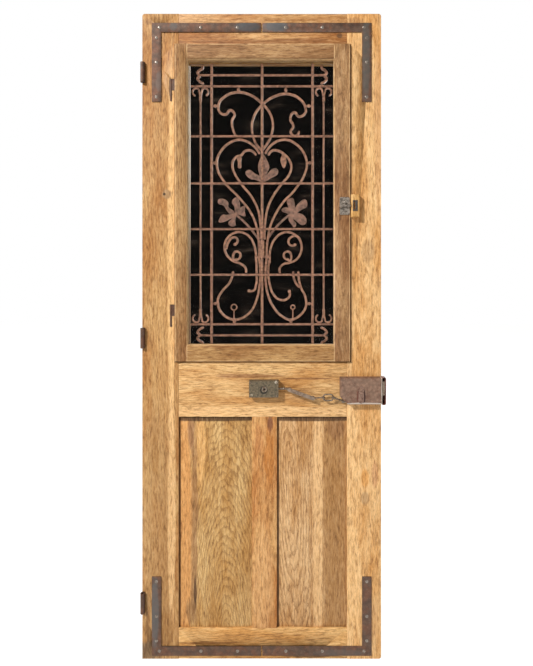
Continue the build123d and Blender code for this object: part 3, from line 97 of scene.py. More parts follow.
def ramp(tree, factor, *stops):
    """A factor sent through a ramp whose stops are each a place and a colour or a grey."""
    node = add(tree, "ShaderNodeValToRGB", links={"Fac": factor})
    elements = node.color_ramp.elements
    while len(elements) < len(stops):
        elements.new(0.5)
    for element, (place, value) in zip(elements, stops):
        element.position = place
        element.color = shade(value) if isinstance(value, str) else (value, value, value, 1)
    return node.outputs["Color"]


def blended(tree, mode, amount, first, second):
    """Mix two colours; the amount is a number or a socket, the colours are sockets or hex codes."""
    node = add(tree, "ShaderNodeMixRGB", blend_type=mode)
    for name, value in (("Fac", amount), ("Color1", first), ("Color2", second)):
        if isinstance(value, str):
            node.inputs[name].default_value = shade(value)
        elif isinstance(value, (int, float)):
            node.inputs[name].default_value = value
        else:
            tree.links.new(value, node.inputs[name])
    return node.outputs["Color"]


def per_metre(millimetres):
    """The scale of a pattern whose features are this size."""
    return 1 / (millimetres * MM)


def noise(tree, place, size, detail, roughness, output="Fac"):
    """The socket of a noise whose features have this size in millimetres along each axis."""
    scaled = add(tree, "ShaderNodeMapping", {"Scale": tuple(per_metre(s) for s in size)}, {"Vector": place})
    sockets = {"Scale": 1.0, "Detail": detail, "Roughness": roughness}
    return add(tree, "ShaderNodeTexNoise", sockets, {"Vector": scaled.outputs["Vector"]}).outputs[output]


def grey(amount):
    """A plain grey for a mix, as a hex code from its share of white in linear light."""
    level = amount * 12.92 if amount <= 0.0031308 else 1.055 * amount ** (1 / 2.4) - 0.055
    return f"{round(level * 255):02x}" * 3


# Turns that lay the grain along an axis
TURNS = {"Z": (0, 0, 0), "X": (0, math.radians(90), 0)}
# The grit of a mark's ragged edge in millimetres, drawn out along the grain on oak and even on iron
RAGGED_GRIT = {"Z": (8, 20, 70), "X": (70, 20, 8)}
EVEN_GRIT = (14, 14, 14)

# Sizes in oak, in millimetres across and along the grain
WANDER = (40, 40, 170)
FIBRE = (2.2, 2.2, 46)
FLECK = (5.5, 5.5, 30)
PORE = (1.5, 1.5, 13)
BROAD = (55, 55, 260)
# How far rings and fibres stray from straight
SWAY = 10 * MM
# A painted sheen on the rays, as where they face the light, and the dirt in the pores
GLEAM = "e6c193"
PORE_DIRT = "6d4827"
# The wave texture's scale at which one ring is one unit wide
RING_SCALE = 0.314

# The size in millimetres of rust's grit, of a wave in drawn glass and of dim shapes in a dark room
IRON_GRIT = 2.2
GLASS_WAVE = 160
DARK_SHAPES = (90, 1000, 26)


def patch(tree, place, centre, reach, ragged, grit):
    """A mask, 1 at a centre and 0 beyond its reach across and up, with a ragged edge."""
    moved = add(
        tree,
        "ShaderNodeMapping",
        {
            "Location": (-centre[0] / reach[0], 0, -centre[1] / reach[1]),
            "Scale": (1 / reach[0], 0, 1 / reach[1]),
        },
        {"Vector": place},
    )
    length = add(tree, "ShaderNodeVectorMath", links={0: moved.outputs["Vector"]}, operation="LENGTH")
    wander = add(
        tree,
        "ShaderNodeMath",
        {1: ragged * 2, 2: -ragged},
        {0: noise(tree, place, grit, 4, 0.55)},
        operation="MULTIPLY_ADD",
    )
    edge = add(
        tree,
        "ShaderNodeMath",
        links={0: length.outputs["Value"], 1: wander.outputs["Value"]},
        operation="ADD",
    )
    return ramp(tree, edge.outputs["Value"], (0.7, 1.0), (1.0, 0.0))


def oak(name, grain, heart, lean, rings, light, dark, drift, pores=0.32, marks=(), bold=0.6):
    """Old solid oak under thin worn varnish: fine growth rings cut by the board, wavy fibre with a painted
    silver sheen on its rays, and short dark pores, paler or stained in places.

    grain is the axis the fibres follow. heart is the place of the tree's middle beside the board, in
    metres, lean how far the tree's axis leans from the grain, in radians, and rings the width of a year's
    growth in millimetres. light and dark are a year's early and late wood, and drift is the tone over
    the parts that have darkened. pores is how dark the pores are, and bold how clearly the rings show.
    marks are sapwood, stains, knots and cracks, and painted shadows and highlights.
    """
    material, tree = new_material(name)
    place = add(tree, "ShaderNodeTexCoord").outputs["Object"]
    turn = {"Rotation": TURNS[grain]}
    turned = add(tree, "ShaderNodeMapping", turn, {"Vector": place}).outputs["Vector"]
    swayed = add(
        tree,
        "ShaderNodeVectorMath",
        {1: (2 * SWAY, 2 * SWAY, 0.0), 2: (-SWAY, -SWAY, 0.0)},
        {0: noise(tree, turned, WANDER, 4, 0.55, "Color")},
        operation="MULTIPLY_ADD",
    )
    bent = add(
        tree, "ShaderNodeVectorMath", links={0: turned, 1: swayed.outputs["Vector"]}, operation="ADD"
    ).outputs["Vector"]
    tree_axis = add(
        tree,
        "ShaderNodeMapping",
        {"Location": (-heart[0], -heart[1], 0), "Rotation": (lean[0], lean[1], 0)},
        {"Vector": bent},
    )
    growth = add(
        tree,
        "ShaderNodeTexWave",
        {"Scale": RING_SCALE * per_metre(rings), "Distortion": 2.2, "Detail": 3, "Detail Scale": 2.2},
        {"Vector": tree_axis.outputs["Vector"]},
        wave_type="RINGS",
        rings_direction="Z",
        wave_profile="SAW",
    )
    fibre = noise(tree, bent, FIBRE, 5, 0.65)
    # Wavy flecks of rays and fibres, as wide as a few fibres; where they would catch the light, a sheen is
    # painted on
    fleck = noise(tree, bent, FLECK, 4, 0.7)
    # Real oak's pores are 0.3 mm wide; these are wider, so that they still show from a few steps away
    pore = noise(tree, bent, PORE, 2, 0.6)
    broad = noise(tree, turned, BROAD, 4, 0.6)
    pore_mask = ramp(tree, pore, (0.31, 1.0), (0.42, 0.0))
    years = ramp(tree, growth.outputs["Fac"], (0.0, light), (0.55, light), (1.0, dark))
    plain = blended(tree, "MIX", 0.5, light, dark)
    tone = blended(tree, "MIX", bold, plain, years)
    darkened = blended(tree, "MULTIPLY", 0.85, tone, drift)
    colour = blended(tree, "MIX", ramp(tree, broad, (0.4, 0.0), (0.62, 1.0)), tone, darkened)
    for centre, reach, tint, strength, ragged in marks:
        mask = patch(tree, place, centre, reach, ragged, RAGGED_GRIT[grain])
        amount = blended(tree, "MULTIPLY", 1.0, mask, grey(strength))
        colour = blended(tree, "MIX", amount, colour, tint)
    flecks = ramp(tree, fleck, (0.34, "94795a"), (0.46, "e8dfd0"), (0.56, "ffffff"), (0.72, "ffffff"))
    colour = blended(tree, "MULTIPLY", 0.7, colour, flecks)
    # Painted sheen: the palest flecks are screened towards GLEAM
    lights = ramp(tree, fleck, (0.56, 0.0), (0.74, 1.0))
    colour = blended(tree, "SCREEN", blended(tree, "MULTIPLY", 1.0, lights, grey(0.22)), colour, GLEAM)
    fibres = ramp(tree, fibre, (0.3, "8c7054"), (0.48, "ffffff"), (0.75, "fff6e4"))
    colour = blended(tree, "MULTIPLY", 0.7, colour, fibres)
    colour = blended(tree, "MIX", blended(tree, "MULTIPLY", 1.0, pore_mask, grey(pores)), colour, PORE_DIRT)
    relief = blended(tree, "ADD", 0.6, broad, fleck)
    grooves = add(tree, "ShaderNodeBump", {"Strength": 0.4, "Distance": 0.9 * MM}, {"Height": relief})
    pits = add(
        tree,
        "ShaderNodeBump",
        {"Strength": 0.35, "Distance": 0.4 * MM},
        {"Height": blended(tree, "MULTIPLY", 0.8, fibre, pore_mask), "Normal": grooves.outputs["Normal"]},
        invert=True,
    )
    gloss = add(
        tree,
        "ShaderNodeMapRange",
        {"From Min": 0.3, "From Max": 0.7, "To Min": 0.45, "To Max": 0.65},
        {"Value": broad},
    )
    shader = add(
        tree,
        "ShaderNodeBsdfPrincipled",
        {"IOR": 1.5, "Specular IOR Level": 0.3},
        {"Base Color": colour, "Roughness": gloss.outputs["Result"], "Normal": pits.outputs["Normal"]},
    )
    add(tree, "ShaderNodeOutputMaterial", links={"Surface": shader.outputs["BSDF"]})
    return material


def iron(name, base, rust, bare, spot, rust_share, roughness, metal, dents, marks=()):
    """Forged iron under thin rust or old paint: mottled, pitted and hammered, bare where hands rub it.

    spot is the size of a rust patch and dents that of a hammer mark, both in millimetres, and
    rust_share how much of the iron is rusty. marks are bared or stained places, or painted shadows.
    """
    material, tree = new_material(name)
    place = add(tree, "ShaderNodeTexCoord").outputs["Object"]
    mottle = noise(tree, place, (spot, spot, spot), 6, 0.62)
    grit = noise(tree, place, (IRON_GRIT, IRON_GRIT, IRON_GRIT), 3, 0.6)
    blows = add(
        tree,
        "ShaderNodeTexVoronoi",
        {"Scale": per_metre(dents), "Smoothness": 0.7},
        {"Vector": place},
        feature="SMOOTH_F1",
    ).outputs["Distance"]
    rust_mask = ramp(tree, mottle, (0.62 - rust_share / 2, 0.0), (0.72 - rust_share / 2, 1.0))
    colour = blended(tree, "MIX", rust_mask, base, rust)
    rubbed = ramp(tree, grit, (0.56, 0.0), (0.74, 0.7))
    colour = blended(tree, "MIX", rubbed, colour, bare)
    soot = ramp(tree, blows, (0.1, "ffffff"), (0.9, "9a9a9a"))
    colour = blended(tree, "MULTIPLY", 0.7, colour, soot)
    for centre, reach, tint, strength, ragged in marks:
        mask = patch(tree, place, centre, reach, ragged, EVEN_GRIT)
        amount = blended(tree, "MULTIPLY", 1.0, mask, grey(strength))
        colour = blended(tree, "MIX", amount, colour, tint)
    hammered = add(
        tree,
        "ShaderNodeBump",
        {"Strength": 0.5, "Distance": 0.5 * MM},
        {"Height": blows},
    )
    pitted = add(
        tree,
        "ShaderNodeBump",
        {"Strength": 0.3, "Distance": 0.2 * MM},
        {"Height": grit, "Normal": hammered.outputs["Normal"]},
    )
    shader = add(
        tree,
        "ShaderNodeBsdfPrincipled",
        {"Roughness": roughness, "Metallic": metal},
        {"Base Color": colour, "Normal": pitted.outputs["Normal"]},
    )
    add(tree, "ShaderNodeOutputMaterial", links={"Surface": shader.outputs["BSDF"]})
    return material


def window_glass():
    """Thin drawn glass: clear, faintly green, and slightly uneven, so that its gloss wavers."""
    material, tree = new_material("drawn_window_glass")
    place = add(tree, "ShaderNodeTexCoord").outputs["Object"]
    waver = noise(tree, place, (GLASS_WAVE, GLASS_WAVE, GLASS_WAVE), 1, 0.5)
    ripple = add(tree, "ShaderNodeBump", {"Strength": 0.04, "Distance": 1 * MM}, {"Height": waver})
    shader = add(
        tree,
        "ShaderNodeBsdfPrincipled",
        {
            "Base Color": shade("f2f8f4"),
            "Roughness": 0.02,
            "IOR": 1.08,
            "Transmission Weight": 1.0,
        },
        {"Normal": ripple.outputs["Normal"]},
    )
    add(tree, "ShaderNodeOutputMaterial", links={"Surface": shader.outputs["BSDF"]})
    return material


def mark(x, z, reach_x, reach_z, tint, strength, ragged=0.35):
    """A mark on a surface: its middle and its reach across and up in millimetres, its colour, how strong
    it is and how ragged its edge is."""
    return ((x * MM, z * MM), (reach_x * MM, reach_z * MM), tint, strength, ragged)


def mark_on(node, across, up, reach_x, reach_z, tint, strength):
    """A mark whose middle is given as shares of a node's width and height."""
    low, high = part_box(node)
    x = (low.x + (high.x - low.x) * across) / MM
    z = (low.z + (high.z - low.z) * up) / MM
    return mark(x, z, reach_x, reach_z, tint, strength)


def arrises(node, grain):
    """Pale lines where the two long edges of a board are rubbed."""
    low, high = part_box(node)
    middle_x, middle_z = (low.x + high.x) / 2 / MM, (low.z + high.z) / 2 / MM
    width = 3.2
    reach = 1.4 * max(high.x - low.x, high.z - low.z) / MM
    finish = {"tint": "e4bd8c", "strength": 0.7, "ragged": 0.3}
    if grain == "Z":
        return [mark(edge / MM, middle_z, width, reach, **finish) for edge in (low.x, high.x)]
    return [mark(middle_x, edge / MM, reach, width, **finish) for edge in (low.z, high.z)]


# Oak of the leaf. Its varnish has gone honey brown; sapwood and rubbed parts are paler, the foot greyer.
oak_boards = {
    "left_stile": oak(
        "honey_oak_left_stile",
        grain="Z",
        heart=(-0.42, 0.13),
        lean=(0.03, 0.02),
        rings=5,
        light="d0a56e",
        dark="b28752",
        drift="dcc09c",
        marks=[
            mark(-335, 380, 60, 520, "b8905f", 0.6),  # greyer foot
            mark(-289, 1276, 14, 760, "ecbf84", 0.8, 0.15),  # pale strip beside the sash
            mark(-288, 480, 15, 420, "edc088", 0.85, 0.3),  # pale strip beside the panel
            mark(-303, 1487, 18, 17, "ab8860", 0.9),  # a knot's halo
            mark(-312, 1487, 5, 5, "3a2a1c", 0.9, 0.2),  # the knot
            mark(-294, 1827, 4, 34, "5a3a24", 0.8, 0.6),  # dark line at the sash hinge
            mark(-341, 652, 15, 75, "a5763f", 0.5),  # old stain
            mark(-357, 28, 50, 34, "6b5a48", 0.7, 0.6),  # weathered corner
            mark(-306, 90, 26, 70, "996a34", 0.6),  # amber stain
            mark(-364, 140, 8, 90, "8a6238", 0.6, 0.8),  # damp edge
            mark(-350, 2040, 40, 14, "a87c4c", 0.6, 0.6),  # stained end grain
        ],
    ),
    "right_stile": oak(
        "honey_oak_right_stile",
        grain="Z",
        heart=(0.36, 0.16),
        lean=(-0.025, 0.03),
        rings=5,
        light="f1c68e",
        dark="d6a86e",
        drift="e4cdaa",
        marks=[
            mark(340, 1305, 25, 42, "b48c60", 0.6, 0.1),  # filled patch
            mark(331, 514, 15, 24, "b8946a", 0.75, 0.1),  # filled patch
            mark(331, 578, 14, 34, "d9994e", 0.7, 0.1),  # amber patch
            mark(362, 590, 12, 50, "c98f62", 0.6, 0.1),  # reddish streak
            mark(278, 1240, 14, 900, "efc48c", 0.6, 0.2),  # rubbed arris
            mark(372, 1700, 14, 300, "cf9e6c", 0.6),  # tanned edge
            mark(300, 2040, 30, 14, "ab7c4e", 0.6, 0.6),  # stained end grain
            mark(345, 120, 30, 90, "c79866", 0.5),  # darker foot
        ],
    ),
    "top_rail": oak(
        "honey_oak_top_rail",
        grain="X",
        heart=(2.0, 0.1),
        lean=(0.02, 0.03),
        rings=6,
        light="d4a570",
        dark="b08049",
        drift="cca678",
        marks=[
            mark(60, 2046, 90, 5, "a07040", 0.7, 0.8),  # stained top edge
            mark(10, 1975, 330, 8, "8c5c36", 0.7, 0.8),  # painted shade along the rail just above the sash
            mark(-180, 1990, 120, 12, "a87444", 0.6, 0.8),  # brown streak
            mark(249, 1994, 10, 10, "6a4a30", 0.85),  # knot
            mark(120, 1982, 110, 5, "93623a", 0.7, 0.8),  # brown streak
        ],
    ),
    "lock_rail": oak(
        "honey_oak_lock_rail",
        grain="X",
        heart=(-0.95, 0.09),
        lean=(0.05, 0.03),
        rings=6,
        light="ebc28a",
        dark="c3985e",
        drift="dcc09a",
        marks=[
            mark(0, 790, 420, 20, "f0c48c", 0.85, 0.15),  # pale lower strip, a painted highlight where the lower edge catches the light
            mark(-40, 905, 120, 8, "9a6a44", 0.7, 0.8),  # stain under the sash
            mark(150, 897, 90, 3.5, "8a5c38", 0.8, 0.5),  # crack
            mark(130, 842, 70, 26, "b88a58", 0.6, 0.6),  # handled patch behind the links
            mark(-150, 880, 80, 20, "e2b880", 0.5, 0.6),  # rubbed patch
        ],
    ),
    "bottom_rail": oak(
        "honey_oak_bottom_rail",
        grain="X",
        heart=(-0.05, 0.12),
        lean=(0.02, 0.05),
        rings=6,
        light="f2c688",
        dark="cfa062",
        drift="e4cca8",
        marks=[
            mark(0, 6, 420, 8, "a8783f", 0.6, 0.8),  # damp lower edge
            mark(-170, 51, 130, 5, "8a5c30", 0.7, 0.8),  # streak above the strap
            mark(150, 8, 90, 5, "4a2c16", 0.8, 0.9),  # rotten spots
        ],
    ),
    "muntin": oak(
        "honey_oak_muntin",
        grain="Z",
        heart=(0.02, 0.2),
        lean=(0.02, 0.015),
        rings=5,
        light="e1b074",
        dark="bf8d54",
        drift="d6b084",
        marks=[
            mark(27, 750, 10, 34, "7a4a34", 0.85, 0.6),  # dark streak by the rail
            mark(24, 640, 18, 110, "bf772f", 0.6, 0.6),  # amber streak
            mark(-8, 700, 16, 60, "c2834e", 0.6, 0.6),  # brown streak
            mark(4, 250, 36, 200, "dba973", 0.6),  # paler lower half
        ],
    ),
    "left_panel": oak(
        "honey_oak_left_panel",
        grain="Z",
        heart=(-0.11, -0.01),
        lean=(0.2, 0.01),
        rings=5.5,
        light="dbb57a",
        dark="a88254",
        drift="dcc6a2",
        bold=0.8,
        marks=[
            mark(-198, 680, 20, 150, "e2b070", 0.75, 0.3),  # pale streak in the heartwood
            mark(-217, 420, 14, 400, "a1764c", 0.8, 0.8),  # dark edge of the heartwood
            mark(-251, 420, 29, 700, "d69c5e", 0.95, 0.22),  # sapwood
            mark(-228, 720, 14, 60, "a07450", 0.8, 0.4),  # heartwood running into the sapwood
            mark(-214, 205, 6, 70, "55381f", 0.85, 0.5),  # crack
            mark(-226, 145, 20, 45, "8e6840", 0.7, 0.7),  # stain round the crack
            mark(-160, 768, 260, 12, "4e341a", 0.9, 0.1),  # painted shadow under the lock rail
            mark(-267, 420, 7, 900, "5c3e20", 0.85, 0.1),  # painted shadow beside the stile
        ],
    ),
    "right_panel": oak(
        "honey_oak_right_panel",
        grain="Z",
        heart=(0.12, 0.05),
        lean=(-0.12, 0.05),
        rings=8,
        light="deb686",
        dark="ac865c",
        drift="d8c2a0",
        bold=0.9,
        marks=[
            mark(238, 430, 46, 900, "a97c49", 0.8, 0.05),  # brown heartwood
            mark(240, 735, 34, 40, "8f6440", 0.65, 0.6),  # dark corner
            mark(180, 430, 18, 900, "e4b985", 0.95, 0.1),  # sapwood
            mark(160, 768, 260, 12, "4e341a", 0.9, 0.1),  # painted shadow under the lock rail
            mark(49, 420, 8, 900, "5c3e20", 0.85, 0.1),  # painted shadow cast by the muntin
        ],
    ),
}
# The linings lie deep in the opening, so their oak is painted darker and browner as painted shade
for name, grain, heart in (
    ("lining_left", "Z", (-0.3, 0.1)),
    ("lining_right", "Z", (0.3, 0.1)),
    ("lining_top", "X", (1.9, 0.1)),
    ("lining_bottom", "X", (-1.0, 0.1)),
):
    oak_boards[name] = oak(
        "shaded_oak_" + name,
        grain=grain,
        heart=heart,
        lean=(0.02, 0.02),
        rings=6,
        light="b98a4e",
        dark="8f642f",
        drift="b28a5c",
    )

# Oak of the sash, browner and greyer from wax and weather, its arrises rubbed pale
sash_boards = {}
for name, grain, heart, light, dark in (
    ("sash_left_stile", "Z", (-0.3, 0.08), "c49a68", "9a754b"),
    ("sash_right_stile", "Z", (0.31, 0.09), "b89064", "8f6c46"),
    ("sash_top_rail", "X", (-1.9, 0.06), "c0986a", "97734c"),
    ("sash_bottom_rail", "X", (-0.9, 0.07), "cca26a", "a27a4c"),
):
    sash_boards[name] = oak(
        "waxed_oak_" + name,
        grain=grain,
        heart=heart,
        lean=(0.02, 0.03),
        rings=6,
        light=light,
        dark=dark,
        drift="b79c7e",
        pores=0.5,
        marks=arrises(name, grain),
    )
sash_boards["glazing_beads"] = sash_boards["sash_left_stile"]

# Pale planed oak, newer than the door
pale_block = oak(
    "pale_oak_block",
    grain="Z",
    heart=(0.2, 0.1),
    lean=(0, 0),
    rings=4,
    light="edc688",
    dark="cfa267",
    drift="e0cba8",
    pores=0.3,
)

# Thin brown rust over forged bars: dull, with a pink cast, darker in the hammer marks
grille_iron = iron(
    "rusty_forged_bars",
    base="c28469",
    rust="94604b",
    bare="eabda8",
    spot=9,
    rust_share=0.3,
    roughness=0.48,
    metal=0.2,
    dents=7,
)
# The same rust on hammered sheet, a little darker and in larger patches
grille_leaf_iron = iron(
    "rusty_forged_leaves",
    base="a87462",
    rust="7a5345",
    bare="d8ae9c",
    spot=11,
    rust_share=0.3,
    roughness=0.5,
    metal=0.2,
    dents=9,
)
# Dark paint on flat iron, rusty brown where it has worn and dark grey where it has bared
strap_iron = iron(
    "worn_painted_strap_iron",
    base="644a3a",
    rust="734c36",
    bare="8e7b6b",
    spot=30,
    rust_share=0.3,
    roughness=0.58,
    metal=0.3,
    dents=12,
    marks=[
        mark(-281, 2022, 15, 15, "50524f", 0.6),  # bared at a screw
        mark(-44, 2022, 44, 18, "4a4e50", 0.75),  # bared end of the left strap's arm
        mark(46, 2022, 46, 18, "4a4e50", 0.75),  # bared end of the right strap's arm
        mark(334, 1930, 14, 170, "565650", 0.6),  # grey upper right leg
        mark(-341, 150, 14, 130, "5e5e5c", 0.65),  # grey lower left leg
        mark(-327, 1845, 13, 40, "6e5f56", 0.6),  # rubbed upper left leg
        mark(250, 20, 90, 14, "5e5650", 0.5),  # rubbed lower arm
    ],
)
# Browned lock iron, silvery where its edges have rubbed bare, with the keyhole cover's shadow painted on
# its face and a rust line left of the cover
lock_iron = iron(
    "browned_lock_iron",
    base="92715c",
    rust="7e5a47",
    bare="b8a290",
    spot=13,
    rust_share=0.25,
    roughness=0.58,
    metal=0.3,
    dents=10,
    marks=[
        mark(325, 846, 3.8, 23, "3a1e16", 0.95, 0.1),  # painted shadow of the keyhole cover, right of it
        mark(317, 825, 10, 4, "3a1e16", 0.95, 0.1),  # painted shadow below the cover's foot
        mark(304, 846, 3.4, 22, "653527", 0.8, 0.1),  # rusty left edge of the cover
        mark_on("lock_cover", 0.6, 0.02, 85, 5, "c8bcb0", 0.9),  # bared lower edge
        mark_on("lock_cover", 0.985, 0.5, 3, 50, "c4b8ac", 0.9),  # bared right edge
    ],
)
# The keyhole cover, rubbed paler than the lock that it swings on
keyhole_cover_iron = iron(
    "worn_keyhole_cover_iron",
    base="9a7866",
    rust="6e4a3a",
    bare="c0ac9c",
    spot=8,
    rust_share=0.25,
    roughness=0.5,
    metal=0.4,
    dents=6,
)
# Red brown paint on the keeper, the reddest of the irons
keeper_iron = iron(
    "red_brown_keeper_iron",
    base="743c28",
    rust="50281c",
    bare="94604c",
    spot=10,
    rust_share=0.3,
    roughness=0.65,
    metal=0.15,
    dents=9,
)
# Olive grey paint, flaking to bare metal at its corners, with a round plate at the spindle
box_iron = iron(
    "olive_painted_box_iron",
    base="5e533f",
    rust="786850",
    bare="a89c84",
    spot=6,
    rust_share=0.4,
    roughness=0.58,
    metal=0.35,
    dents=5,
    marks=[
        mark(7.2, 865, 14, 14, "1c1810", 1.0, 0.1),  # dark rim of the round plate
        mark(7.2, 865, 8, 8, "82765e", 0.9, 0.1),  # round plate
        mark_on("transfer_box_cover", 0.09, 0.15, 5, 5, "b0a48c", 0.6),  # bared lower left corner
        mark_on("transfer_box_cover", 0.92, 0.92, 6, 5, "c8bca8", 0.8),  # bared upper right corner
    ],
)
# Links and bolts that hands and metal keep rubbed, pale on a brown ground
link_iron = iron(
    "hand_worn_link_iron",
    base="90806e",
    rust="705844",
    bare="c8baac",
    spot=7,
    rust_share=0.3,
    roughness=0.42,
    metal=0.5,
    dents=6,
)
# Worn bright steel, the palest metal of the door
latch_steel = iron(
    "worn_latch_steel",
    base="aca092",
    rust="75685c",
    bare="e6ded4",
    spot=6,
    rust_share=0.3,
    roughness=0.36,
    metal=0.4,
    dents=9,
)
# A smooth flat bar with broad soft patches
bar_iron = iron(
    "rubbed_flat_bar_iron",
    base="98826e",
    rust="7c6450",
    bare="c0ae9a",
    spot=14,
    rust_share=0.3,
    roughness=0.45,
    metal=0.3,
    dents=16,
)
# Dark unrubbed iron on the pale block
dark_iron = iron(
    "dark_keeper_plate_iron",
    base="57504a",
    rust="473b33",
    bare="8e857c",
    spot=6,
    rust_share=0.3,
    roughness=0.5,
    metal=0.4,
    dents=6,
)
# Small bright heads on the dark straps
screw_iron = iron(
    "dull_steel_screws",
    base="a2968a",
    rust="7c6a5c",
    bare="dcd4ca",
    spot=4,
    rust_share=0.25,
    roughness=0.4,
    metal=0.6,
    dents=4,
)
glass = window_glass()


# Shapes

bodies = {
    member: body
    for body, members in frame["record"]["behaviour"]["bodies"].items()
    for member in members
}

# The widest angle that shades smooth, in degrees, which is wider on forged pieces
flat_smooth, forged_smooth = 35, 60


def solid_of(node):
    """A CAD node's solid with its doubled points merged and its flat faces joined."""
    mesh = bmesh.new()
    mesh.from_mesh(nodes[node].data)
    bmesh.ops.remove_doubles(mesh, verts=mesh.verts, dist=MERGED)
    bmesh.ops.dissolve_limit(
        mesh,
        angle_limit=math.radians(0.5),
        use_dissolve_boundaries=False,
        verts=mesh.verts,
        edges=mesh.edges,
        delimit=set(),
    )
    return mesh


def show(mesh, name, node, material, smooth):
    """Put a finished mesh into the scene as a piece that rides on the same body as a CAD node.

    smooth is the largest angle between faces that still shades as one surface, in degrees.
    """
    data = bpy.data.meshes.new(name)
    mesh.to_mesh(data)
    mesh.free()
    data.materials.append(material)
    data.shade_smooth()
    data.set_sharp_from_angle(angle=math.radians(smooth))
    piece = bpy.data.objects.new(name, data)
    bpy.context.scene.collection.objects.link(piece)
    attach(piece, bodies[node])
    return piece


def round_edges(mesh, width, segments, shortest):
    """Bevel the outward edges of a solid that are long enough, and sharper than its smooth bends."""
    smooth_bend = math.radians(40)
    edges = [
        edge
        for edge in mesh.edges
        if edge.calc_length() > shortest
        and len(edge.link_faces) == 2
        and edge.is_convex
        and edge.calc_face_angle() > smooth_bend
    ]
    bmesh.ops.bevel(
        mesh,
        geom=edges,
        offset=width,
        offset_type="OFFSET",
        affect="EDGES",
        segments=segments,
        profile=0.5,
        clamp_overlap=True,
        material=-1,
    )


def worn(node, material, width, segments, shortest, smooth):
    """The same solid with its edges worn round, in place of a CAD node."""
    mesh = solid_of(node)
    round_edges(mesh, width, segments, shortest)
    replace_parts(show(mesh, node + "_worn", node, material, smooth), node)


def finish_node(node, material):
    """Give a CAD node that keeps its shape its material."""
    data = nodes[node].data
    data.materials.clear()
    data.materials.append(material)


def islands(node):
    """Lowest and highest corners of each separate solid of a node."""
    mesh = bmesh.new()
    mesh.from_mesh(nodes[node].data)
    bmesh.ops.remove_doubles(mesh, verts=mesh.verts, dist=MERGED)
    unseen = set(mesh.verts)
    found = []
    while unseen:
        reached = [unseen.pop()]
        members = []
        while reached:
            vert = reached.pop()
            members.append(vert.co.copy())
            for edge in vert.link_edges:
                other = edge.other_vert(vert)
                if other in unseen:
                    unseen.remove(other)
                    reached.append(other)
        low = Vector([min(point[i] for point in members) for i in range(3)])
        high = Vector([max(point[i] for point in members) for i in range(3)])
        found.append((low, high))
    mesh.free()
    return sorted(found, key=lambda pair: tuple(round(value, 5) for value in pair[0]))


def cut_slot(mesh, middle, half_width, floor):
    """Press a straight slot into a head that faces forward, down to a floor.

    The screw's place scatters the angle at which its slot has stopped. The cuts outside the slot keep
    its walls steep.
    """
    turn = (middle.x * 37 + middle.z * 53) % math.pi
    across = Vector((math.cos(turn), 0, math.sin(turn)))
    wall = 1.3 * half_width
    for side in (-wall, -half_width, half_width, wall):
        bmesh.ops.bisect_plane(
            mesh,
            geom=mesh.verts[:] + mesh.edges[:] + mesh.faces[:],
            dist=0.1 * MERGED,
            plane_co=middle + across * side,
            plane_no=across,
        )
    for vert in mesh.verts:
        if abs((vert.co - middle).dot(across)) < 1.05 * half_width and vert.co.y < floor:
            vert.co.y = floor


def round_head(low, high, rise, shank, slot):
    """A round-headed fastener in the face, as big as its CAD one.

    rise is how far the head stands over the face, shank the shank's radius, and slot half the slot's
    width, or 0 for a rivet.
    """
    radius = (high.x - low.x) / 2
    middle = Vector(((low.x + high.x) / 2, 0, (low.z + high.z) / 2))
    face = low.y + rise
    profile = (
        (0, low.y),
        (0.45 * radius, low.y + 0.08 * rise),
        (0.8 * radius, low.y + 0.35 * rise),
        (radius, face - 0.2 * rise),
        (radius, face),
        (shank, face),
        (shank, high.y),
        (0, high.y),
    )
    mesh = bmesh.new()
    points = [mesh.verts.new(middle + Vector((across, depth, 0))) for across, depth in profile]
    lines = [mesh.edges.new(pair) for pair in zip(points, points[1:])]
    bmesh.ops.spin(
        mesh,
        geom=points + lines,
        cent=middle,
        axis=(0, 1, 0),
        dvec=(0, 0, 0),
        angle=math.tau,
        steps=20,
        use_merge=True,
        use_duplicate=False,
    )
    bmesh.ops.remove_doubles(mesh, verts=mesh.verts, dist=MERGED)
    if slot:
        cut_slot(mesh, middle, slot, face - 0.15 * rise)
    bmesh.ops.recalc_face_normals(mesh, faces=mesh.faces)
    return mesh


def round_heads(node, rise, shank, slot, material):
    """Round-headed fasteners in place of a node of plain ones."""
    row = bmesh.new()
    for low, high in islands(node):
        one = round_head(low, high, rise, shank, slot)
        data = bpy.data.meshes.new("one_head")
        one.to_mesh(data)
        one.free()
        row.from_mesh(data)
        bpy.data.meshes.remove(data)
    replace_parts(show(row, node + "_round", node, material, flat_smooth), node)


def keeper_back(material):
    """The inner face of the lock's keeper, a thin plate behind the two bolts.

    Its edges run into the keeper's band, which is 3 mm thick, and it clears the bolts by 0.4 mm.
    """
    low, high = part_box("lock_keeper")
    bolt_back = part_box("latch_bolt")[1].y
    band = 3 * MM
    bolt_play = 0.4 * MM
    first = Vector((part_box("lock_case")[1].x, bolt_back + bolt_play, low.z + 0.7 * band))
    last = Vector((high.x - 0.8 * band, high.y, high.z - 0.7 * band))
    mesh = bmesh.new()
    bmesh.ops.create_cube(mesh, size=1.0)
    for vert in mesh.verts:
        for axis in range(3):
            vert.co[axis] = first[axis] if vert.co[axis] < 0 else last[axis]
    show(mesh, "lock_keeper_back", "lock_keeper", material, flat_smooth)


# Pieces

# How far each kind of edge is worn round
board_wear = 1.6 * MM
inner_board_wear = 0.8 * MM
sash_wear = 1.2 * MM
bead_wear = 0.6 * MM
block_wear = 0.8 * MM
strap_wear = 0.7 * MM
bar_wear = 1.7 * MM
sprig_wear = 0.9 * MM
# The shortest edges that are worn on each kind of piece
long_edge = 60 * MM
block_edge = 10 * MM
strap_edge = 12 * MM
forged_edge = 0.4 * MM
# How many facets a worn edge has, and fewer on thin iron
facets, thin_facets = 3, 2
# The straps' screws and the box's rivets are as the CAD has them; a slot is 1.4 mm wide
screw_rise, screw_shank, half_slot = 1.2 * MM, 2.2 * MM, 0.7 * MM
rivet_rise, rivet_shank = 1.0 * MM, 1.5 * MM

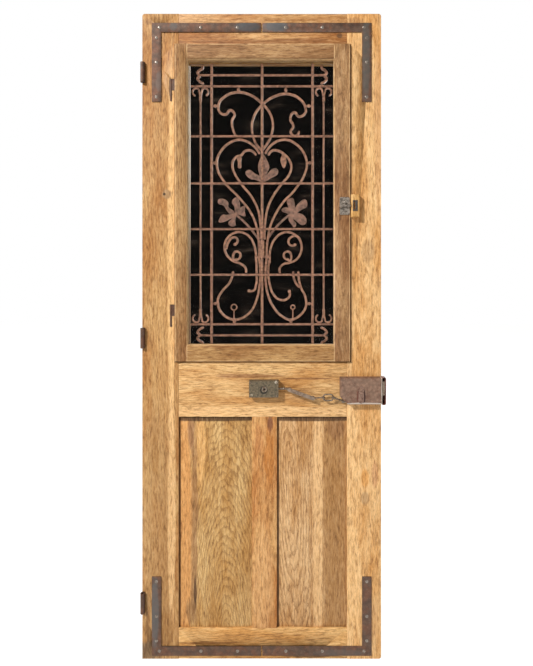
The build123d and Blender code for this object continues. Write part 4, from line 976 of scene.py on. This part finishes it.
for node, material in oak_boards.items():
    inner = "lining" in node or "panel" in node
    worn(node, material, inner_board_wear if inner else board_wear, facets, long_edge, flat_smooth)
for node, material in sash_boards.items():
    wear = bead_wear if node == "glazing_beads" else sash_wear
    worn(node, material, wear, facets, long_edge, flat_smooth)
worn("keeper_block", pale_block, block_wear, facets, block_edge, flat_smooth)

keeper_back(keeper_iron)
round_heads("strap_screws", screw_rise, screw_shank, half_slot, screw_iron)
round_heads("box_rivets", rivet_rise, rivet_shank, 0, link_iron)

for node in ("strap_top_left", "strap_top_right", "strap_bottom_left", "strap_bottom_right"):
    worn(node, strap_iron, strap_wear, thin_facets, strap_edge, flat_smooth)

for node in (
    "grille_slim_bars",
    "grille_corner_waves",
    "crown_scrolls",
    "outer_heart",
    "inner_heart",
    "lyre_scrolls",
    "bulb_scrolls",
    "grille_collars",
):
    worn(node, grille_iron, bar_wear, facets, forged_edge, forged_smooth)
for node in ("leaf_sprig_left", "leaf_sprig_right", "centre_leaves"):
    worn(node, grille_leaf_iron, sprig_wear, thin_facets, forged_edge, forged_smooth)

# CAD nodes that keep their shape, by their material
for material, kept in (
    (glass, ("glass_pane",)),
    (grille_iron, ("grille_uprights", "grille_crossbars")),
    (strap_iron, ("door_hinges", "sash_hinge_plates", "sash_hinge_pins")),
    (screw_iron, ("hinge_screws",)),
    (latch_steel, ("sash_latch_plate", "sash_bolt")),
    (dark_iron, ("keeper_plate",)),
    (box_iron, ("transfer_box_case", "transfer_box_cover")),
    (bar_iron, ("flat_bar",)),
    (link_iron, ("spindle_follower", "pull_rod", "tail_rod", "oval_link", "end_hook")),
    (link_iron, ("latch_bolt", "dead_bolt")),
    (lock_iron, ("lock_case", "lock_cover")),
    (keyhole_cover_iron, ("keyhole_cover",)),
    (keeper_iron, ("lock_keeper",)),
):
    for node in kept:
        finish_node(node, material)


# Stage


def stage_sheet(name, corners, material):
    """A flat sheet that isn't part of the object."""
    mesh = bmesh.new()
    mesh.faces.new([mesh.verts.new(place) for place in corners])
    data = bpy.data.meshes.new(name)
    mesh.to_mesh(data)
    mesh.free()
    data.materials.append(material)
    sheet = bpy.data.objects.new(name, data)
    bpy.context.scene.collection.objects.link(sheet)


def seen_by(tree, first, *others):
    """A switch, 1 for the named kinds of ray and 0 for every other."""
    ray = add(tree, "ShaderNodeLightPath")
    switch = ray.outputs[first]
    for other in others:
        links = {0: switch, 1: ray.outputs[other]}
        switch = add(tree, "ShaderNodeMath", links=links, operation="MAXIMUM").outputs["Value"]
    return switch


def pale_floor():
    """A white floor: it shows as white to the camera, but keeps the object's shadow."""
    material, tree = new_material("white_studio_floor")
    seen = seen_by(tree, "Is Camera Ray", "Is Transmission Ray", "Is Glossy Ray")
    glow = add(tree, "ShaderNodeEmission", {"Color": shade("ffffff"), "Strength": 0.92})
    lit = add(tree, "ShaderNodeBsdfDiffuse", {"Color": shade("8c8c8a")})
    white = add(tree, "ShaderNodeAddShader", links={0: glow.outputs["Emission"], 1: lit.outputs["BSDF"]})
    plain = add(tree, "ShaderNodeBsdfDiffuse", {"Color": shade("dcdcda")})
    choice = add(
        tree,
        "ShaderNodeMixShader",
        links={"Fac": seen, 1: plain.outputs["BSDF"], 2: white.outputs["Shader"]},
    )
    add(tree, "ShaderNodeOutputMaterial", links={"Surface": choice.outputs["Shader"]})
    return material


def dark_room():
    """A sheet of painted shade for the unlit room behind the grille: dark to the eye from the front, absent
    from behind.
    """
    material, tree = new_material("dark_room_card")
    place = add(tree, "ShaderNodeTexCoord").outputs["Object"]
    gloom = noise(tree, place, DARK_SHAPES, 3, 0.5)
    tint = ramp(tree, gloom, (0.5, "0c0a09"), (0.62, "1c1613"), (0.75, "3c3029"))
    facing = add(tree, "ShaderNodeNewGeometry")
    ahead = add(
        tree,
        "ShaderNodeMath",
        links={
            0: seen_by(tree, "Is Camera Ray", "Is Transmission Ray"),
            1: facing.outputs["Backfacing"],
        },
        operation="SUBTRACT",
        use_clamp=True,
    )
    dark = add(tree, "ShaderNodeEmission", {"Strength": 1.0}, {"Color": tint})
    clear = add(tree, "ShaderNodeBsdfTransparent")
    choice = add(
        tree,
        "ShaderNodeMixShader",
        links={"Fac": ahead.outputs["Value"], 1: clear.outputs["BSDF"], 2: dark.outputs["Emission"]},
    )
    add(tree, "ShaderNodeOutputMaterial", links={"Surface": choice.outputs["Shader"]})
    return material


# Half the floor's width, in metres
floor_reach = 8
floor_corners = [
    (-floor_reach, -floor_reach, 0),
    (floor_reach, -floor_reach, 0),
    (floor_reach, floor_reach, 0),
    (-floor_reach, floor_reach, 0),
]
stage_sheet("floor", floor_corners, pale_floor())

# The dark card reaches past the opening, behind the linings, and stands a little behind the leaf
card_lap = 22.5 * MM
card_gap = 12 * MM
card_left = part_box("lining_left")[1].x - card_lap
card_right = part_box("lining_right")[0].x + card_lap
card_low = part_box("lining_bottom")[1].z - card_lap
card_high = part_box("lining_top")[0].z + card_lap
card_corners = [
    (card_left, back + card_gap, card_low),
    (card_right, back + card_gap, card_low),
    (card_right, back + card_gap, card_high),
    (card_left, back + card_gap, card_high),
]
stage_sheet("room_card", card_corners, dark_room())


def lamp(name, place, aim, size, power):
    """A square soft lamp that points at a place, with its size in metres and its power in watts."""
    light = bpy.data.lights.new(name, "AREA")
    light.size = size
    light.energy = power
    lit = bpy.data.objects.new(name, light)
    lit.location = place
    lit.rotation_euler = (Vector(aim) - Vector(place)).to_track_quat("-Z", "Y").to_euler()
    bpy.context.scene.collection.objects.link(lit)


middle = (0, 0, leaf_top / 2)
# The key stands high on the left, small enough for crisp shadows to the right and below
lamp("key_lamp", (-3.9, -4.0, 5.2), middle, size=0.6, power=585)
# The fill lifts the shadows a little from the right
lamp("fill_lamp", (2.6, -3.2, 0.9), middle, size=2.4, power=26)
# The back lamp lights the outer side, which the main view hides
lamp("back_lamp", (1.4, 2.8, 2.4), middle, size=1.6, power=80)

world = bpy.data.worlds.new("white_studio")
bpy.context.scene.world = world
world.use_nodes = True
sky = world.node_tree
sky.nodes.clear()
sky_soft = add(sky, "ShaderNodeBackground", {"Color": shade("fbfaf6"), "Strength": 0.23})
sky_white = add(sky, "ShaderNodeBackground", {"Color": shade("ffffff"), "Strength": 1.0})
sky_choice = add(
    sky,
    "ShaderNodeMixShader",
    links={
        "Fac": seen_by(sky, "Is Camera Ray", "Is Transmission Ray"),
        1: sky_soft.outputs["Background"],
        2: sky_white.outputs["Background"],
    },
)
add(sky, "ShaderNodeOutputWorld", links={"Surface": sky_choice.outputs["Shader"]})

# Camera: it stands 1.5 m from the inner face, right of the middle and a little above it. Its frame is
# shifted so that the whole leaf fits. The picture is 533 by 666 pixels of 3.2 mm at that face, with the
# leaf's middle and the floor at the pixels named here.
pixel = 3.2 * MM
frame_width, frame_height = 533, 666
leaf_middle_pixel, floor_pixel = 261.7, 658.8
camera_distance = 1.5
camera_x, camera_z = 68 * MM, 1270 * MM
sensor = 36.0
view_height = frame_height * pixel
frame_x = (frame_width / 2 - leaf_middle_pixel) * pixel
frame_z = (floor_pixel - frame_height / 2) * pixel

camera_data = bpy.data.cameras.new("door_camera")
camera_data.sensor_fit = "VERTICAL"
camera_data.sensor_height = sensor
camera_data.lens = sensor * camera_distance / view_height
camera_data.shift_x = (frame_x - camera_x) / view_height
camera_data.shift_y = (frame_z - camera_z) / view_height
camera = bpy.data.objects.new("door_camera", camera_data)
camera.location = (camera_x, front - camera_distance, camera_z)
camera.rotation_euler = (math.radians(90), 0, 0)
bpy.context.scene.collection.objects.link(camera)
bpy.context.scene.camera = camera

bpy.context.scene.view_settings.view_transform = "Standard"
